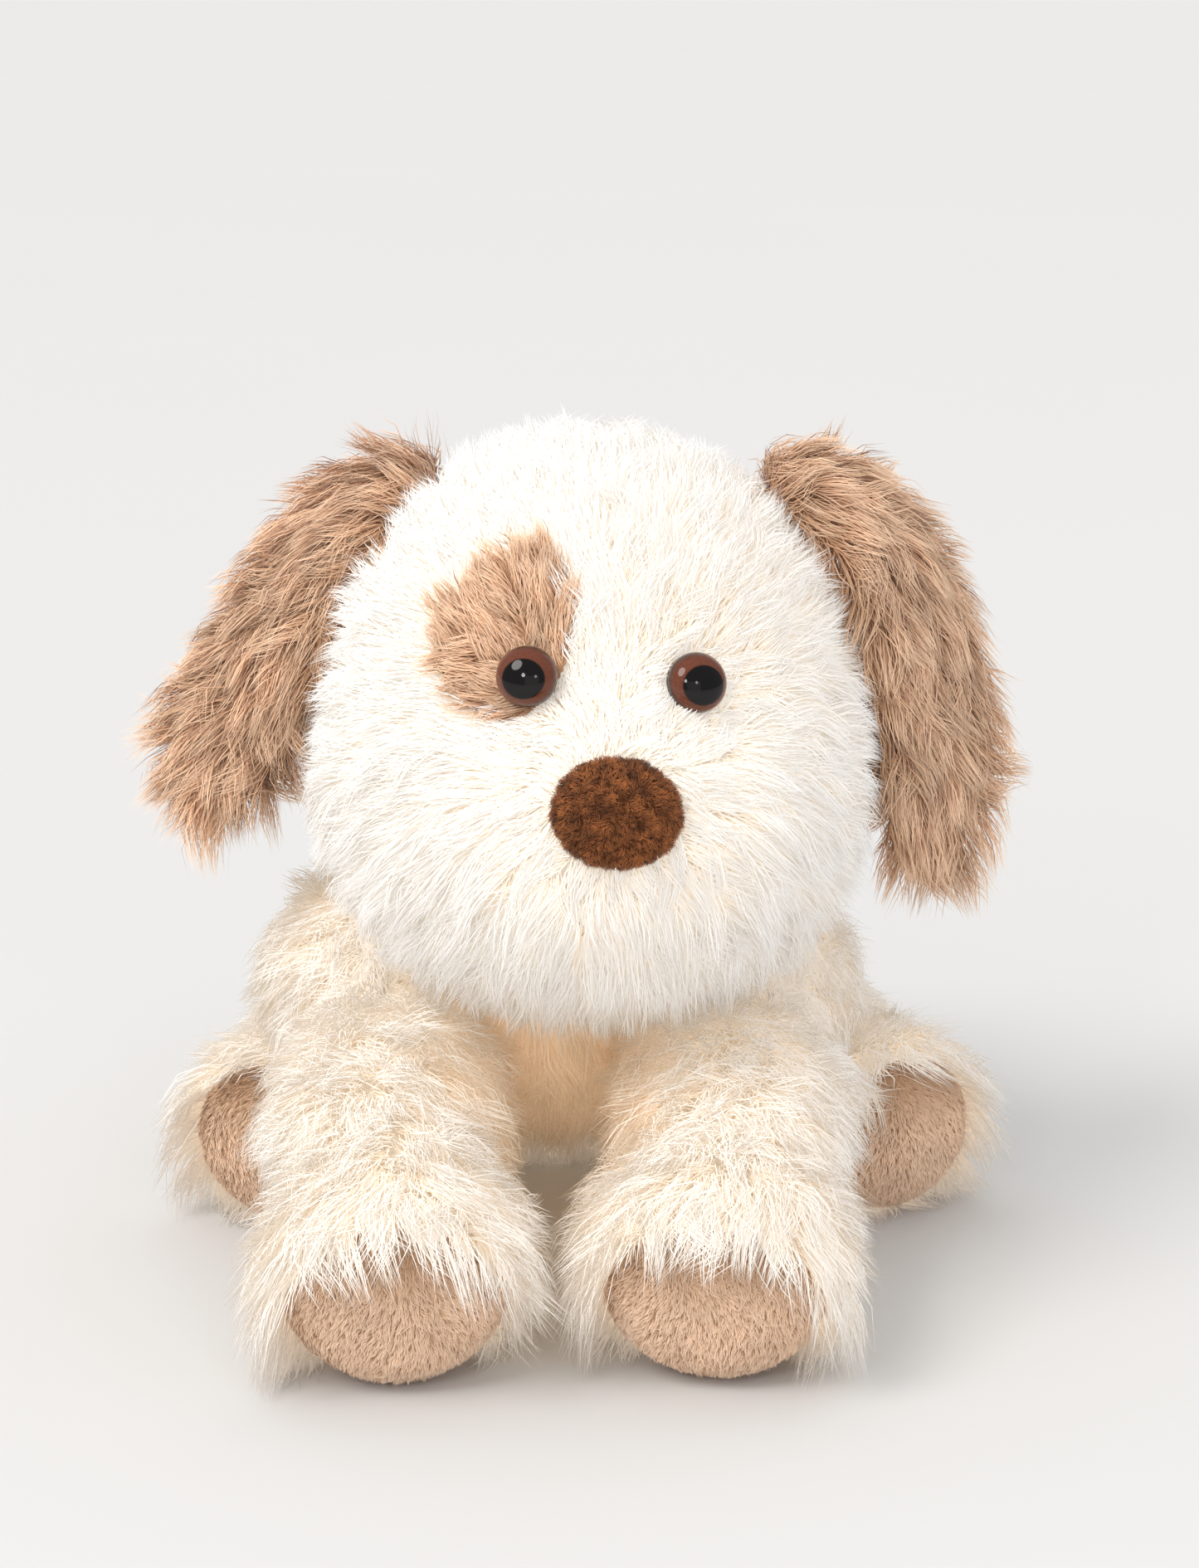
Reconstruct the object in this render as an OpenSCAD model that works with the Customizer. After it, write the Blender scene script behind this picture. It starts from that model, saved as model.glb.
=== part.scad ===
// A sitting plush dog: sewn fabric panels over separate stuffings, with a turning head,
// flapping ears, swinging legs and a wagging tail. It faces -Y and rests on the plane z = 0.

/* [Torso] */
// width across the rump, fabric to fabric, mm
torso_width = 122; // [100:1:146]
// length from the chest to the rump, mm
torso_length = 144; // [124:1:174]
// height of the back above the ground, mm
torso_height = 102; // [88:1:124]
// width of the chest between the forelegs, mm
chest_width = 56; // [46:1:68]
// share of the torso's height that the flat seat cuts off its round belly
seat_flatness = 0.09; // [0.06:0.01:0.14]

/* [Neck] */
// width of the stuffed neck, mm
neck_width = 56; // [44:1:64]
// forward lean of the neck from upright, degrees
neck_lean = 26; // [20:1:32]

/* [Head] */
// width of the head across the cheeks, mm
head_width = 118; // [98:1:142]
// depth of the head from forehead to nape, mm
head_depth = 112; // [94:1:134]
// height of the head from crown to jaw, mm
head_height = 116; // [98:1:138]
// distance the muzzle stands out beyond the forehead, mm
muzzle_length = 23; // [16:1:30]
// width of the muzzle, mm
muzzle_width = 78; // [64:1:92]
// turn of the head towards the dog's left, degrees
head_turn = 4.5; // [-8:0.5:8]
// sideways tilt of the head, degrees
head_tilt = 2.5; // [-5:0.5:5]

/* [Eyes] */
// diameter of each moulded eye, mm
eye_diameter = 14; // [11:0.5:17]
// distance between the centres of the eyes, mm
eye_spacing = 38; // [32:1:46]
// height of the eyes above the middle of the head, mm
eye_height = 18; // [13:1:22]
// diameter of the stem behind each eye, mm
stem_diameter = 4.4; // [3.6:0.1:5.4]

/* [Nose] */
// width of the padded nose, mm
nose_width = 29; // [23:1:35]
// height of the padded nose, mm
nose_height = 21.5; // [18:0.5:26]
// distance the nose stands out from the muzzle, mm
nose_padding = 6.5; // [5:0.5:9]

/* [Ears] */
// widest part of each ear, mm
ear_width = 39; // [31:1:47]
// width of each ear where it is sewn on, mm
ear_root_width = 25; // [20:1:30]
// sideways reach of the ear on the dog's right, mm
right_ear_reach = 61; // [51:1:73]
// drop of the ear on the dog's right, mm
right_ear_drop = 79; // [66:1:95]
// sideways reach of the ear on the dog's left, mm
left_ear_reach = 43; // [36:1:52]
// drop of the ear on the dog's left, mm
left_ear_drop = 94; // [78:1:113]

/* [Forelegs] */
// length of each foreleg from shoulder to sole, mm
foreleg_length = 122; // [102:1:134]
// width of each foreleg, mm
foreleg_width = 49; // [40:1:54]
// width of each forepaw, mm
forepaw_width = 55; // [45:1:60]
// height of the shoulders above the ground, mm
shoulder_height = 64; // [55:1:68]

/* [Hind legs] */
// length of each hind leg from hip to sole, mm
hindleg_length = 84; // [72:1:98]
// width of each hind leg, mm
hindleg_width = 44; // [36:1:50]
// outward splay of the hind leg on the dog's right, degrees from straight ahead
right_splay = 21; // [17:1:40]
// outward splay of the hind leg on the dog's left, degrees from straight ahead
left_splay = 33; // [24:1:46]

/* [Tail] */
// length of the tail beyond the rump, mm
tail_length = 30; // [24:1:38]
// thickness of the tail, mm
tail_width = 21; // [17:1:26]

/* [Fabric] */
// thickness of the fabric with its backing, mm
fabric = 1.6; // [1.2:0.1:2.2]
// width of each seam between two panels, mm
seam = 0.3; // [0.2:0.05:0.5]
// clearance between the fabric and the stuffing, mm
stuffing_clearance = 0.4; // [0.3:0.05:0.6]
// clearance between pieces that move against each other, mm
joint_clearance = 0.6; // [0.4:0.1:1]

/* [Hidden] */

cream = [0.93, 0.90, 0.84];
tan_plush = [0.79, 0.63, 0.50];
brown_plush = [0.38, 0.24, 0.15];
filling_white = [0.97, 0.97, 0.96];
iris_brown = [0.30, 0.17, 0.12];
clear_black = [0.05, 0.04, 0.04];
washer_white = [0.85, 0.85, 0.83];

far = 1e4;
// extra room round a ball, because flat facets between points on a ball cut into it; the
// facets and so the room grow with the torso
facet_room = 2.2 * pow(torso_width / 122, 2.4);
radian = 57.3;
blend_power = 9;
edge_power = 14;
right = -1;
left = 1;

// ---- small vector helpers ----
function unit(v) = v / norm(v);
function yawed(v, a) = [v[0] * cos(a) - v[1] * sin(a), v[0] * sin(a) + v[1] * cos(a), v[2]];
function nodded(v, a) = [v[0], v[1] * cos(a) - v[2] * sin(a), v[1] * sin(a) + v[2] * cos(a)];
function rolled(v, a) = [v[0] * cos(a) + v[2] * sin(a), v[1], -v[0] * sin(a) + v[2] * cos(a)];
function steps(a, b, n) = [for (i = [0:n]) a + (b - a) * i / n];

// ---- distance from a point o along a direction d ----
// to the far side of a round blob [centre, half sizes]
function blob_reach(o, d, b) =
  let (q = [for (i = [0:2]) (o[i] - b[0][i]) / b[1][i]])
  let (e = [for (i = [0:2]) d[i] / b[1][i]])
  let (disc = (e * q) * (e * q) - (e * e) * (q * q - 1))
  disc <= 0 ? 0.01 : max(0.01, (-(e * q) + sqrt(disc)) / (e * e));
// to the near side of a ball [centre, radius] that has to stay empty
function bite_reach(o, d, s) =
  let (q = o - s[0])
  let (disc = (d * q) * (d * q) - (q * q - s[1] * s[1]))
  (disc <= 0 || d * q >= 0) ? far : max(2, -(d * q) - sqrt(disc));
// to a wall [outward normal, point on it]
function wall_reach(o, d, w) =
  (d * w[0] <= 0.001) ? far : max(1, ((w[1] - o) * w[0]) / (d * w[0]));
// to the side of a cone [tip, axis, half angle] that o lies inside
function cone_reach(o, d, c) =
  let (q = o - c[0], k = cos(c[2]) * cos(c[2]))
  let (a2 = (d * c[1]) * (d * c[1]) - k)
  let (b2 = (q * c[1]) * (d * c[1]) - k * (q * d))
  let (c2 = (q * c[1]) * (q * c[1]) - k * (q * q))
  let (disc = b2 * b2 - a2 * c2)
  disc <= 0 ? far :
  let (t1 = (-b2 - sqrt(disc)) / a2, t2 = (-b2 + sqrt(disc)) / a2)
  min(t1 > 0 ? t1 : far, t2 > 0 ? t2 : far);
function largest(v) = 50 * pow(sum([for (x = v) pow(x / 50, blend_power)]), 1 / blend_power);
function smallest(v) = 50 * pow(sum([for (x = v) pow(x / 50, -edge_power)]), -1 / edge_power);
function sum(v) = [for (i = 0, s = v[0]; i < len(v); i = i + 1, s = s + (i < len(v) ? v[i] : 0)) s]
  [len(v) - 1];
// form = [blobs, bites, walls, cones]
function reach(o, d, form) = min(wall_reach(o, d, ground), smallest(concat(
  [largest([for (b = form[0]) blob_reach(o, d, b)])],
  [for (s = form[1]) bite_reach(o, d, s)],
  [for (w = form[2]) wall_reach(o, d, w)],
  [for (c = form[3]) cone_reach(o, d, c)])));
ground = [[0, 0, -1], [0, 0, 0]];

// ---- rays about a pole axis: frame = [pole, side, up] ----
function ray(frame, t, p) =
  cos(t) * frame[0] + sin(t) * (cos(p) * frame[1] + sin(p) * frame[2]);
function rays(o, frame, form, tt, pp) =
  [for (t = tt) [for (p = pp) let (d = ray(frame, t, p)) [d, reach(o, d, form)]]];
function points(o, grid, inset) = [for (row = grid) [for (g = row) o + g[0] * (g[1] - inset)]];

// ---- solids from grids of points ----
// an open patch between an outer and an inner grid
module patch(outer, inner) {
  n = len(outer);
  m = len(outer[0]);
  k = n * m;
  all = concat([for (row = outer) each row], [for (row = inner) each row]);
  skin = [for (i = [0:n - 2]) for (j = [0:m - 2]) each
    let (a = i * m + j, b = a + 1, c = a + m + 1, d = a + m) [[a, b, c], [a, c, d]]];
  back = [for (f = skin) [f[0] + k, f[2] + k, f[1] + k]];
  ends = [for (j = [0:m - 2]) each let (a = j, b = j + 1) [[b, a, a + k], [b, a + k, b + k]]];
  last = [for (j = [0:m - 2]) each let (a = (n - 1) * m + j, b = a + 1)
    [[a, b, b + k], [a, b + k, a + k]]];
  side = [for (i = [0:n - 2]) each let (a = i * m, b = a + m) [[a, b, b + k], [a, b + k, a + k]]];
  far_side = [for (i = [0:n - 2]) each let (a = i * m + m - 1, b = a + m)
    [[b, a, a + k], [b, a + k, b + k]]];
  polyhedron(points = all, faces = concat(skin, back, ends, last, side, far_side));
}
// a round patch with a middle point; each grid row is a closed ring
module dome(outer_tip, outer, inner_tip, inner) {
  n = len(outer);
  m = len(outer[0]);
  k = n * m + 1;
  all = concat([outer_tip], [for (row = outer) each row], [inner_tip],
    [for (row = inner) each row]);
  fan = [for (j = [0:m - 1]) [0, 1 + (j + 1) % m, 1 + j]];
  skin = [for (i = [0:1:n - 2]) for (j = [0:m - 1]) each
    let (a = 1 + i * m + j, b = 1 + i * m + (j + 1) % m, c = b + m, d = a + m)
    [[a, b, c], [a, c, d]]];
  back = [for (f = concat(fan, skin)) [f[0] + k, f[2] + k, f[1] + k]];
  rim = [for (j = [0:m - 1]) each let (a = 1 + (n - 1) * m + j, b = 1 + (n - 1) * m + (j + 1) % m)
    [[a, b, b + k], [a, b + k, a + k]]];
  polyhedron(points = all, faces = concat(fan, skin, back, rim));
}
// a closed lump between two poles
module lump(first, grid, last) {
  n = len(grid);
  m = len(grid[0]);
  all = concat([first], [for (row = grid) each row], [last]);
  fan = [for (j = [0:m - 1]) [0, 1 + (j + 1) % m, 1 + j]];
  skin = [for (i = [0:n - 2]) for (j = [0:m - 1]) each
    let (a = 1 + i * m + j, b = 1 + i * m + (j + 1) % m, c = b + m, d = a + m)
    [[a, b, c], [a, c, d]]];
  end = [for (j = [0:m - 1]) [n * m + 1, 1 + (n - 1) * m + j, 1 + (n - 1) * m + (j + 1) % m]];
  polyhedron(points = all, faces = concat(fan, skin, end));
}
// a fabric panel of a form: open patch of rays between the given angles
module panel(o, frame, form, tt, pp) {
  grid = rays(o, frame, form, tt, pp);
  patch(points(o, grid, 0), points(o, grid, fabric));
}
// a round fabric panel about the pole
module round_panel(o, frame, form, tt, pp) {
  grid = rays(o, frame, form, tt, pp);
  tip = [frame[0], reach(o, frame[0], form)];
  dome(o + tip[0] * tip[1], points(o, grid, 0), o + tip[0] * (tip[1] - fabric),
    points(o, grid, fabric));
}
// the stuffing inside a form
module stuffing(o, frame, form, tt, pp) {
  grid = rays(o, frame, form, tt, pp);
  inset = fabric + stuffing_clearance;
  t0 = reach(o, frame[0], form) - inset;
  t1 = reach(o, -frame[0], form) - inset;
  lump(o + frame[0] * t0, points(o, grid, inset), o - frame[0] * t1);
}
// angles that stop short of a seam at both ends
function between(a, b, n, size) = let (g = seam / 2 / size * radian)
  [for (i = [0:n]) a + (b - a) * i / n + (i == 0 ? sign(b - a) * g : i == n ? -sign(b - a) * g : 0)];
function ring(n) = [for (i = [0:n - 1]) 360 * i / n];

// ---- placing ----
mid_x = -3.5;
rump_back = torso_length * 0.68 + 7;
chest_front = rump_back - torso_length;
neck = [mid_x + 2, chest_front * 0.24, torso_height * 0.97];
neck_axis = [0, -sin(neck_lean), cos(neck_lean)];
neck_radius = neck_width / 2;
// the head stays above one plane and the torso inside a cone below it, so the neck can bend
head_under = [0, -sin(neck_lean + 4), cos(neck_lean + 4)];
torso_cone_angle = 79.3;

shoulder_y = chest_front * 0.33;
function shoulder(s) =
  [mid_x + s * (chest_width / 2 + foreleg_width * 0.36), shoulder_y, shoulder_height];
paw_radius = forepaw_width / 2;
paw_rise = paw_radius * 0.9;
function foreleg_run(s) = sqrt(pow(foreleg_length, 2) - pow(shoulder_height - paw_rise, 2));
function paw_x(s) = mid_x + s * (paw_radius + 7.5 + joint_clearance * 4);
function sole_y(s) = shoulder_y - foreleg_run(s) + (s == right ? -3 : 0);
function paw(s) = [paw_x(s), sole_y(s) + paw_radius * 0.9, paw_rise];

hip_y = rump_back - torso_length * 0.39;
hip_height = hindleg_width * 0.62;
function hip(s) = [mid_x + s * torso_width * 0.385, hip_y, hip_height];
function splay(s) = s == right ? right_splay : left_splay;
function leg_way(s) = [s * sin(splay(s)), -cos(splay(s)), 0];
foot_radius = hindleg_width / 2;
function foot_end(s) = hip(s) + leg_way(s) * hindleg_length;
function foot(s) = hip(s) + leg_way(s) * (hindleg_length - foot_radius * 0.9)
  + [0, 0, foot_radius - hip_height + 0.5];

tail_root = [mid_x, rump_back - tail_width * 0.25, torso_height * 0.42];
tail_radius = tail_width / 2;
tail_way = unit([0, 0.8, 0.6]);

// ---- torso ----
torso_middle = [mid_x, rump_back - torso_length * 0.46, torso_height * 0.5];
torso_frame = [[0, 1, 0], [0, 0, -1], [-1, 0, 0]];
foreleg_sweep = [-6, 0, 8, 16];
function foreleg_way(s) = unit(paw(s) - shoulder(s));
function foreleg_ball(s, along, turn, extra) =
  [shoulder(s) + nodded(foreleg_way(s), turn) * along,
   max(foreleg_width, along > 40 ? forepaw_width : 0) / 2 + extra];
function foreleg_bites(extra) = [for (s = [right, left]) for (along = [0, 16, 32, 50, 68])
  for (turn = along == 0 ? [0] : foreleg_sweep) foreleg_ball(s, along, turn, extra)];
function hindleg_bites(extra) = [for (s = [right, left]) for (along = [0, 18, 36])
  for (turn = along == 0 ? [0] : [-6, 8, 24, 38])
  [hip(s) + yawed(leg_way(s), s * turn) * along, hindleg_width / 2 + extra]];
torso_form = [
  [[[mid_x, rump_back - torso_length * 0.335, torso_height * (0.5 - seat_flatness / 2)],
    [torso_width / 2, torso_length * 0.335, torso_height * (0.5 + seat_flatness / 2)]],
   [[mid_x, chest_front + torso_length * 0.29, torso_height * 0.62],
    [chest_width * 0.55, torso_length * 0.29, torso_height * 0.36]]],
  concat([[neck, neck_radius + joint_clearance + facet_room],
    [tail_root, tail_radius + joint_clearance + facet_room]],
    foreleg_bites(joint_clearance + facet_room), hindleg_bites(joint_clearance + facet_room)),
  [],
  [[neck, -neck_axis, torso_cone_angle]]];
torso_rows = [3, 12, 22, 33, 44, 55, 66, 77, 88, 99, 110, 121, 132, 143, 154, 165, 176];
torso_seam_angle = 42;

module torso_back_left() {
  color(cream) panel(torso_middle, torso_frame, torso_form, torso_rows,
    between(-180, -torso_seam_angle, 12, torso_width / 2));
}
module torso_back_right() {
  color(cream) panel(torso_middle, torso_frame, torso_form, torso_rows,
    between(torso_seam_angle, 180, 12, torso_width / 2));
}
module torso_belly() {
  color(cream) panel(torso_middle, torso_frame, torso_form, torso_rows,
    between(-torso_seam_angle, torso_seam_angle, 8, torso_width / 2));
}
module torso_stuffing() {
  color(filling_white) stuffing(torso_middle, torso_frame, torso_form, torso_rows, torso_ring);
}
torso_ring = concat(steps(-torso_seam_angle, torso_seam_angle, 8),
  [for (i = [1:23]) torso_seam_angle + (360 - 2 * torso_seam_angle) * i / 24]);

module neck_stuffing() {
  color(filling_white) translate(neck) sphere(r = neck_radius, $fn = 64);
}

// ---- head, in its own axes about its middle ----
head_middle = neck + [6, -head_depth * 0.215, head_height * 0.35];
function to_head(v) = rolled(yawed(v, -head_turn), -head_tilt);
module on_head() {
  translate(head_middle) rotate([0, 0, head_turn]) rotate([0, head_tilt, 0]) children();
}
head_neck = to_head(neck - head_middle);
cheek_drop = head_height * 0.16;
head_form = [
  [[[0, head_depth * 0.04, head_height * 0.05],
    [head_width * 0.49, head_depth * 0.5, head_height * 0.48]],
   [[0, -head_depth * 0.1, -cheek_drop], [head_width / 2, head_depth * 0.42, head_height * 0.41]],
   [[0, -head_depth * 0.5 + 16, -head_height * 0.14],
    [muzzle_width / 2, muzzle_length + 16, muzzle_width * 0.40]]],
  [[head_neck, neck_radius + joint_clearance + facet_room]],
  [[-to_head(head_under), head_neck]],
  []];
function head_reach(d) = min(far, smallest(concat(
  [largest([for (b = head_form[0]) blob_reach([0, 0, 0], d, b)])],
  [for (s = head_form[1]) bite_reach([0, 0, 0], d, s)],
  [for (w = head_form[2]) wall_reach([0, 0, 0], d, w)])));
head_frame = [[1, 0, 0], [0, -1, 0], [0, 0, -1]];
function head_rays(tt, pp) =
  [for (t = tt) [for (p = pp) let (d = ray(head_frame, t, p)) [d, head_reach(d)]]];
head_seam = 77;
side_rows = [13, 26, 39, 52, 65, head_seam];
mid_rows = steps(head_seam, 180 - head_seam, 4);
head_gap = seam / head_width * radian;

module head_side(s) {
  frame = s == left ? head_frame : [-head_frame[0], head_frame[1], -head_frame[2]];
  tt = [for (i = [0:len(side_rows) - 1]) side_rows[i] - (i == len(side_rows) - 1 ? head_gap : 0)];
  grid = [for (t = tt) [for (p = ring(36)) let (d = ray(frame, t, p)) [d, head_reach(d)]]];
  tip = [frame[0], head_reach(frame[0])];
  dome(tip[0] * tip[1], points([0, 0, 0], grid, 0), tip[0] * (tip[1] - fabric),
    points([0, 0, 0], grid, fabric));
}
module head_band(first, last, n) {
  tt = concat([mid_rows[0] + head_gap], [for (i = [1:3]) mid_rows[i]], [mid_rows[4] - head_gap]);
  grid = head_rays(tt, between(first, last, n, head_height / 2));
  patch(points([0, 0, 0], grid, 0), points([0, 0, 0], grid, fabric));
}
module head_side_left() {
  color(cream) on_head() difference() {
    head_side(left);
    stem_hole(left);
  }
}
module head_side_right() {
  color(cream) on_head() difference() {
    head_side(right);
    stem_hole(right);
  }
}
module head_gusset() {
  color(cream) on_head() head_band(-210, -10, 20);
}
module head_chin() {
  color(cream) on_head() head_band(-10, 150, 16);
}
module head_stuffing() {
  form_rays = [for (t = concat(side_rows, [for (i = [1:3]) mid_rows[i]],
    [for (i = [5:-1:0]) 180 - side_rows[i]])) [for (p = ring(36))
    let (d = ray(head_frame, t, p)) [d, stuffing_reach(d)]]];
  first = [1, 0, 0] * stuffing_reach([1, 0, 0]);
  last = [-1, 0, 0] * stuffing_reach([-1, 0, 0]);
  color(filling_white) on_head() lump(first, points([0, 0, 0], form_rays, 0), last);
}
// the stuffing gives way behind the eyes, where the washers sit
function stuffing_reach(d) = smallest([head_reach(d) - fabric - stuffing_clearance,
  for (s = [right, left]) bite_reach([0, 0, 0], d, [eye_seat(s), washer_room])]);

// ---- eyes ----
eye_radius = eye_diameter / 2;
function eye_way(s) = unit([s * eye_spacing / 2, -head_depth * 0.46, eye_height]);
function eye_seat(s) = eye_way(s) * head_reach(eye_way(s));
function surface_normal(d) =
  let (u = unit(cross(d, [0, 0, 1])), w = cross(u, d), e = 0.09)
  let (pu = unit(d + u * e), mu = unit(d - u * e), pw = unit(d + w * e), mw = unit(d - w * e))
  let (tu = pu * head_reach(pu) - mu * head_reach(mu), tw = pw * head_reach(pw) - mw * head_reach(mw))
  let (n = unit(cross(tu, tw)))
  n * d > 0 ? n : -n;
function eye_normal(s) = unit(surface_normal(eye_way(s)) + [0, -0.35, 0]);
eye_lift = 3.1;
function lift(s) = eye_lift + (s == right ? patch_gap + fabric : 0);
stem_length = 9;
washer_radius = eye_radius * 0.9;
washer_height = 1.6;
washer_room = washer_radius + 5.5;
module at_eye(s, out) {
  n = eye_normal(s);
  translate(eye_seat(s) + n * out) rotate([0, acos(n[2]), atan2(n[1], n[0])]) children();
}
module stem_hole(s) {
  at_eye(s, -12) cylinder(h = 24, r = stem_diameter / 2 + 0.3, $fn = 48);
}
lens_height = eye_radius * 0.72;
plate = 1.2;
module eye_lens(s) {
  steps_up = 10;
  dome_points = [for (i = [0:steps_up]) let (a = 90 * i / steps_up)
    [eye_radius * cos(a), plate + 0.1 + lens_height * sin(a)]];
  at_eye(s, lift(s)) rotate_extrude($fn = 64) polygon(concat([[0, plate + 0.1]], dome_points));
}
module eye_stem(s) {
  at_eye(s, lift(s)) {
    cylinder(h = plate, r = eye_radius, $fn = 64);
    translate([0, 0, -stem_length]) cylinder(h = stem_length + plate / 2, r = stem_diameter / 2,
      $fn = 48);
  }
}
module eye_washer(s) {
  at_eye(s, -fabric - 1.1 - washer_height) difference() {
    cylinder(h = washer_height, r = washer_radius, $fn = 64);
    translate([0, 0, -1]) cylinder(h = washer_height + 2, r = stem_diameter / 2 + 0.15, $fn = 48);
  }
}
module eye_lens_left() {
  color(clear_black) on_head() eye_lens(left);
}
module eye_lens_right() {
  color(clear_black) on_head() eye_lens(right);
}
module eye_stem_left() {
  color(iris_brown) on_head() eye_stem(left);
}
module eye_stem_right() {
  color(iris_brown) on_head() eye_stem(right);
}
module eye_washers() {
  color(washer_white) on_head() {
    eye_washer(left);
    eye_washer(right);
  }
}

// ---- tan patch around the right eye ----
patch_gap = 0.8;
function bump(a, middle, half) = let (x = (a - middle) / half) abs(x) < 1 ? pow(cos(90 * x), 2) : 0;
function patch_outline(a) = eye_diameter * (0.80 + 1.6 * bump(a, 92, 75) + 1.25 * bump(a, 168, 62)
  + 0.25 * bump(a, 10, 60) + 0.25 * bump(a, 215, 50) + 0.25 * bump(a, 370, 60));
module eye_patch() {
  d0 = eye_way(right);
  u = unit(cross(d0, [0, 0, 1]));
  w = cross(u, d0);
  size = head_reach(d0);
  turns = [for (i = [0:27]) 360 * i / 28];
  grid = [for (k = [1:7]) [for (a = turns)
    let (r = patch_outline(a) * k / 7 / size, d = unit(d0 - u * r * cos(a) + w * r * sin(a)))
    [d, head_reach(d)]]];
  outer = patch_gap + fabric;
  color(tan_plush) on_head() difference() {
    dome(d0 * (size + outer), points([0, 0, 0], grid, -outer), d0 * (size + patch_gap),
      points([0, 0, 0], grid, -patch_gap));
    stem_hole(right);
  }
}

// ---- nose ----
nose_way = unit([0, -head_depth * 0.5 - muzzle_length, -head_height * 0.043]);
function nose_ray(k, a) = let (r0 = head_reach(nose_way))
  unit(nose_way + [cos(a) * k * nose_width / 2 / r0, 0, sin(a) * k * nose_height / 2 / r0]);
function nose_rise(k) = nose_padding * sqrt(max(0, 1 - pow(k, 2.6)));
nose_rings = [0.2, 0.4, 0.58, 0.73, 0.85, 0.93, 0.985];
nose_turns = [for (i = [0:23]) 15 * i];
nose_gap = 0.5;
module nose_cover() {
  grid = [for (k = nose_rings) [for (a = nose_turns) let (d = nose_ray(k, a)) [d, head_reach(d)]]];
  r0 = head_reach(nose_way) + nose_gap;
  outer = [for (i = [0:6]) [for (g = grid[i]) g[0] * (g[1] + nose_gap + fabric
    + nose_rise(nose_rings[i]))]];
  inner = [for (i = [0:6]) [for (g = grid[i]) g[0] * (g[1] + nose_gap
    + (i == 6 ? 0 : nose_rise(nose_rings[i])))]];
  color(brown_plush) on_head() dome(nose_way * (r0 + fabric + nose_padding), outer,
    nose_way * (r0 + nose_padding), inner);
}
module nose_stuffing() {
  grid = [for (i = [0:5]) [for (a = nose_turns) let (d = nose_ray(nose_rings[i] * 0.93, a))
    [d, head_reach(d)]]];
  r0 = head_reach(nose_way) + nose_gap;
  outer = [for (i = [0:5]) [for (g = grid[i]) g[0] * (g[1] + nose_gap
    + max(0.5, nose_rise(nose_rings[i]) - 0.8))]];
  inner = [for (i = [0:5]) [for (g = grid[i]) g[0] * (g[1] + nose_gap)]];
  color(filling_white) on_head() dome(nose_way * (r0 + nose_padding - 0.5), outer,
    nose_way * r0, inner);
}

// ---- ears ----
ear_gap = 4.5 * ear_width / 39;
function ear_top(s) = head_middle + [s * (head_width * 0.32 + ear_gap * 0.6) + 2, 14,
  head_height * 0.42 + ear_gap * 0.8];
function ear_curve(s) = s == right ?
  [[0, 0], [-0.40, 0.0], [-0.52, -0.39], [-1, -1]] : [[0, 0], [0.72, 0.0], [0.98, -0.40], [1, -1]];
function ear_size(s) = s == right ? [right_ear_reach, right_ear_drop] :
  [left_ear_reach, left_ear_drop];
function bezier(c, t) = pow(1 - t, 3) * c[0] + 3 * pow(1 - t, 2) * t * c[1]
  + 3 * (1 - t) * t * t * c[2] + t * t * t * c[3];
function ear_mid(s, t) = let (b = bezier(ear_curve(s), t), z = ear_size(s))
  ear_top(s) + [b[0] * z[0], 0, b[1] * z[1]];
function ear_twist(s, t) = (s == right ? 12 : 14) + 34 * t;
function ear_half(t) = (ear_root_width / 2 + (ear_width - ear_root_width) / 2 * sin(min(90, 140 * t)))
  * sqrt(max(0.03, 1 - pow(max(0, t - 0.68) / 0.325, 2.2)));
ear_cols = 8;
ear_rows = 14;
function ear_point(s, t, u, off) =
  let (e = 0.01, m = ear_mid(s, t), go = unit(ear_mid(s, min(1, t + e)) - ear_mid(s, t - e)))
  let (out = unit(cross(go, [0, s, 0])), a = ear_twist(s, t))
  let (wide = cos(a) * [0, 1, 0] + sin(a) * out)
  let (face = unit(cross(go, wide)) * s, cup = 3.0 * (1 - u * u) * sin(180 * min(1, t + 0.1)))
  m + wide * u * ear_half(t) + face * (off + cup);
module ear_layer(s, low, high) {
  tt = steps(0, 0.99, ear_rows);
  uu = s == left ? steps(-1, 1, ear_cols) : steps(1, -1, ear_cols);
  patch([for (t = tt) [for (u = uu) ear_point(s, t, u, high)]],
    [for (t = tt) [for (u = uu) ear_point(s, t, u, low)]]);
}
module ear_back_left() {
  color(tan_plush) ear_layer(left, seam / 2, seam / 2 + fabric);
}
module ear_front_left() {
  color(tan_plush) ear_layer(left, -seam / 2 - fabric, -seam / 2);
}
module ear_back_right() {
  color(tan_plush) ear_layer(right, seam / 2, seam / 2 + fabric);
}
module ear_front_right() {
  color(tan_plush) ear_layer(right, -seam / 2 - fabric, -seam / 2);
}

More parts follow.
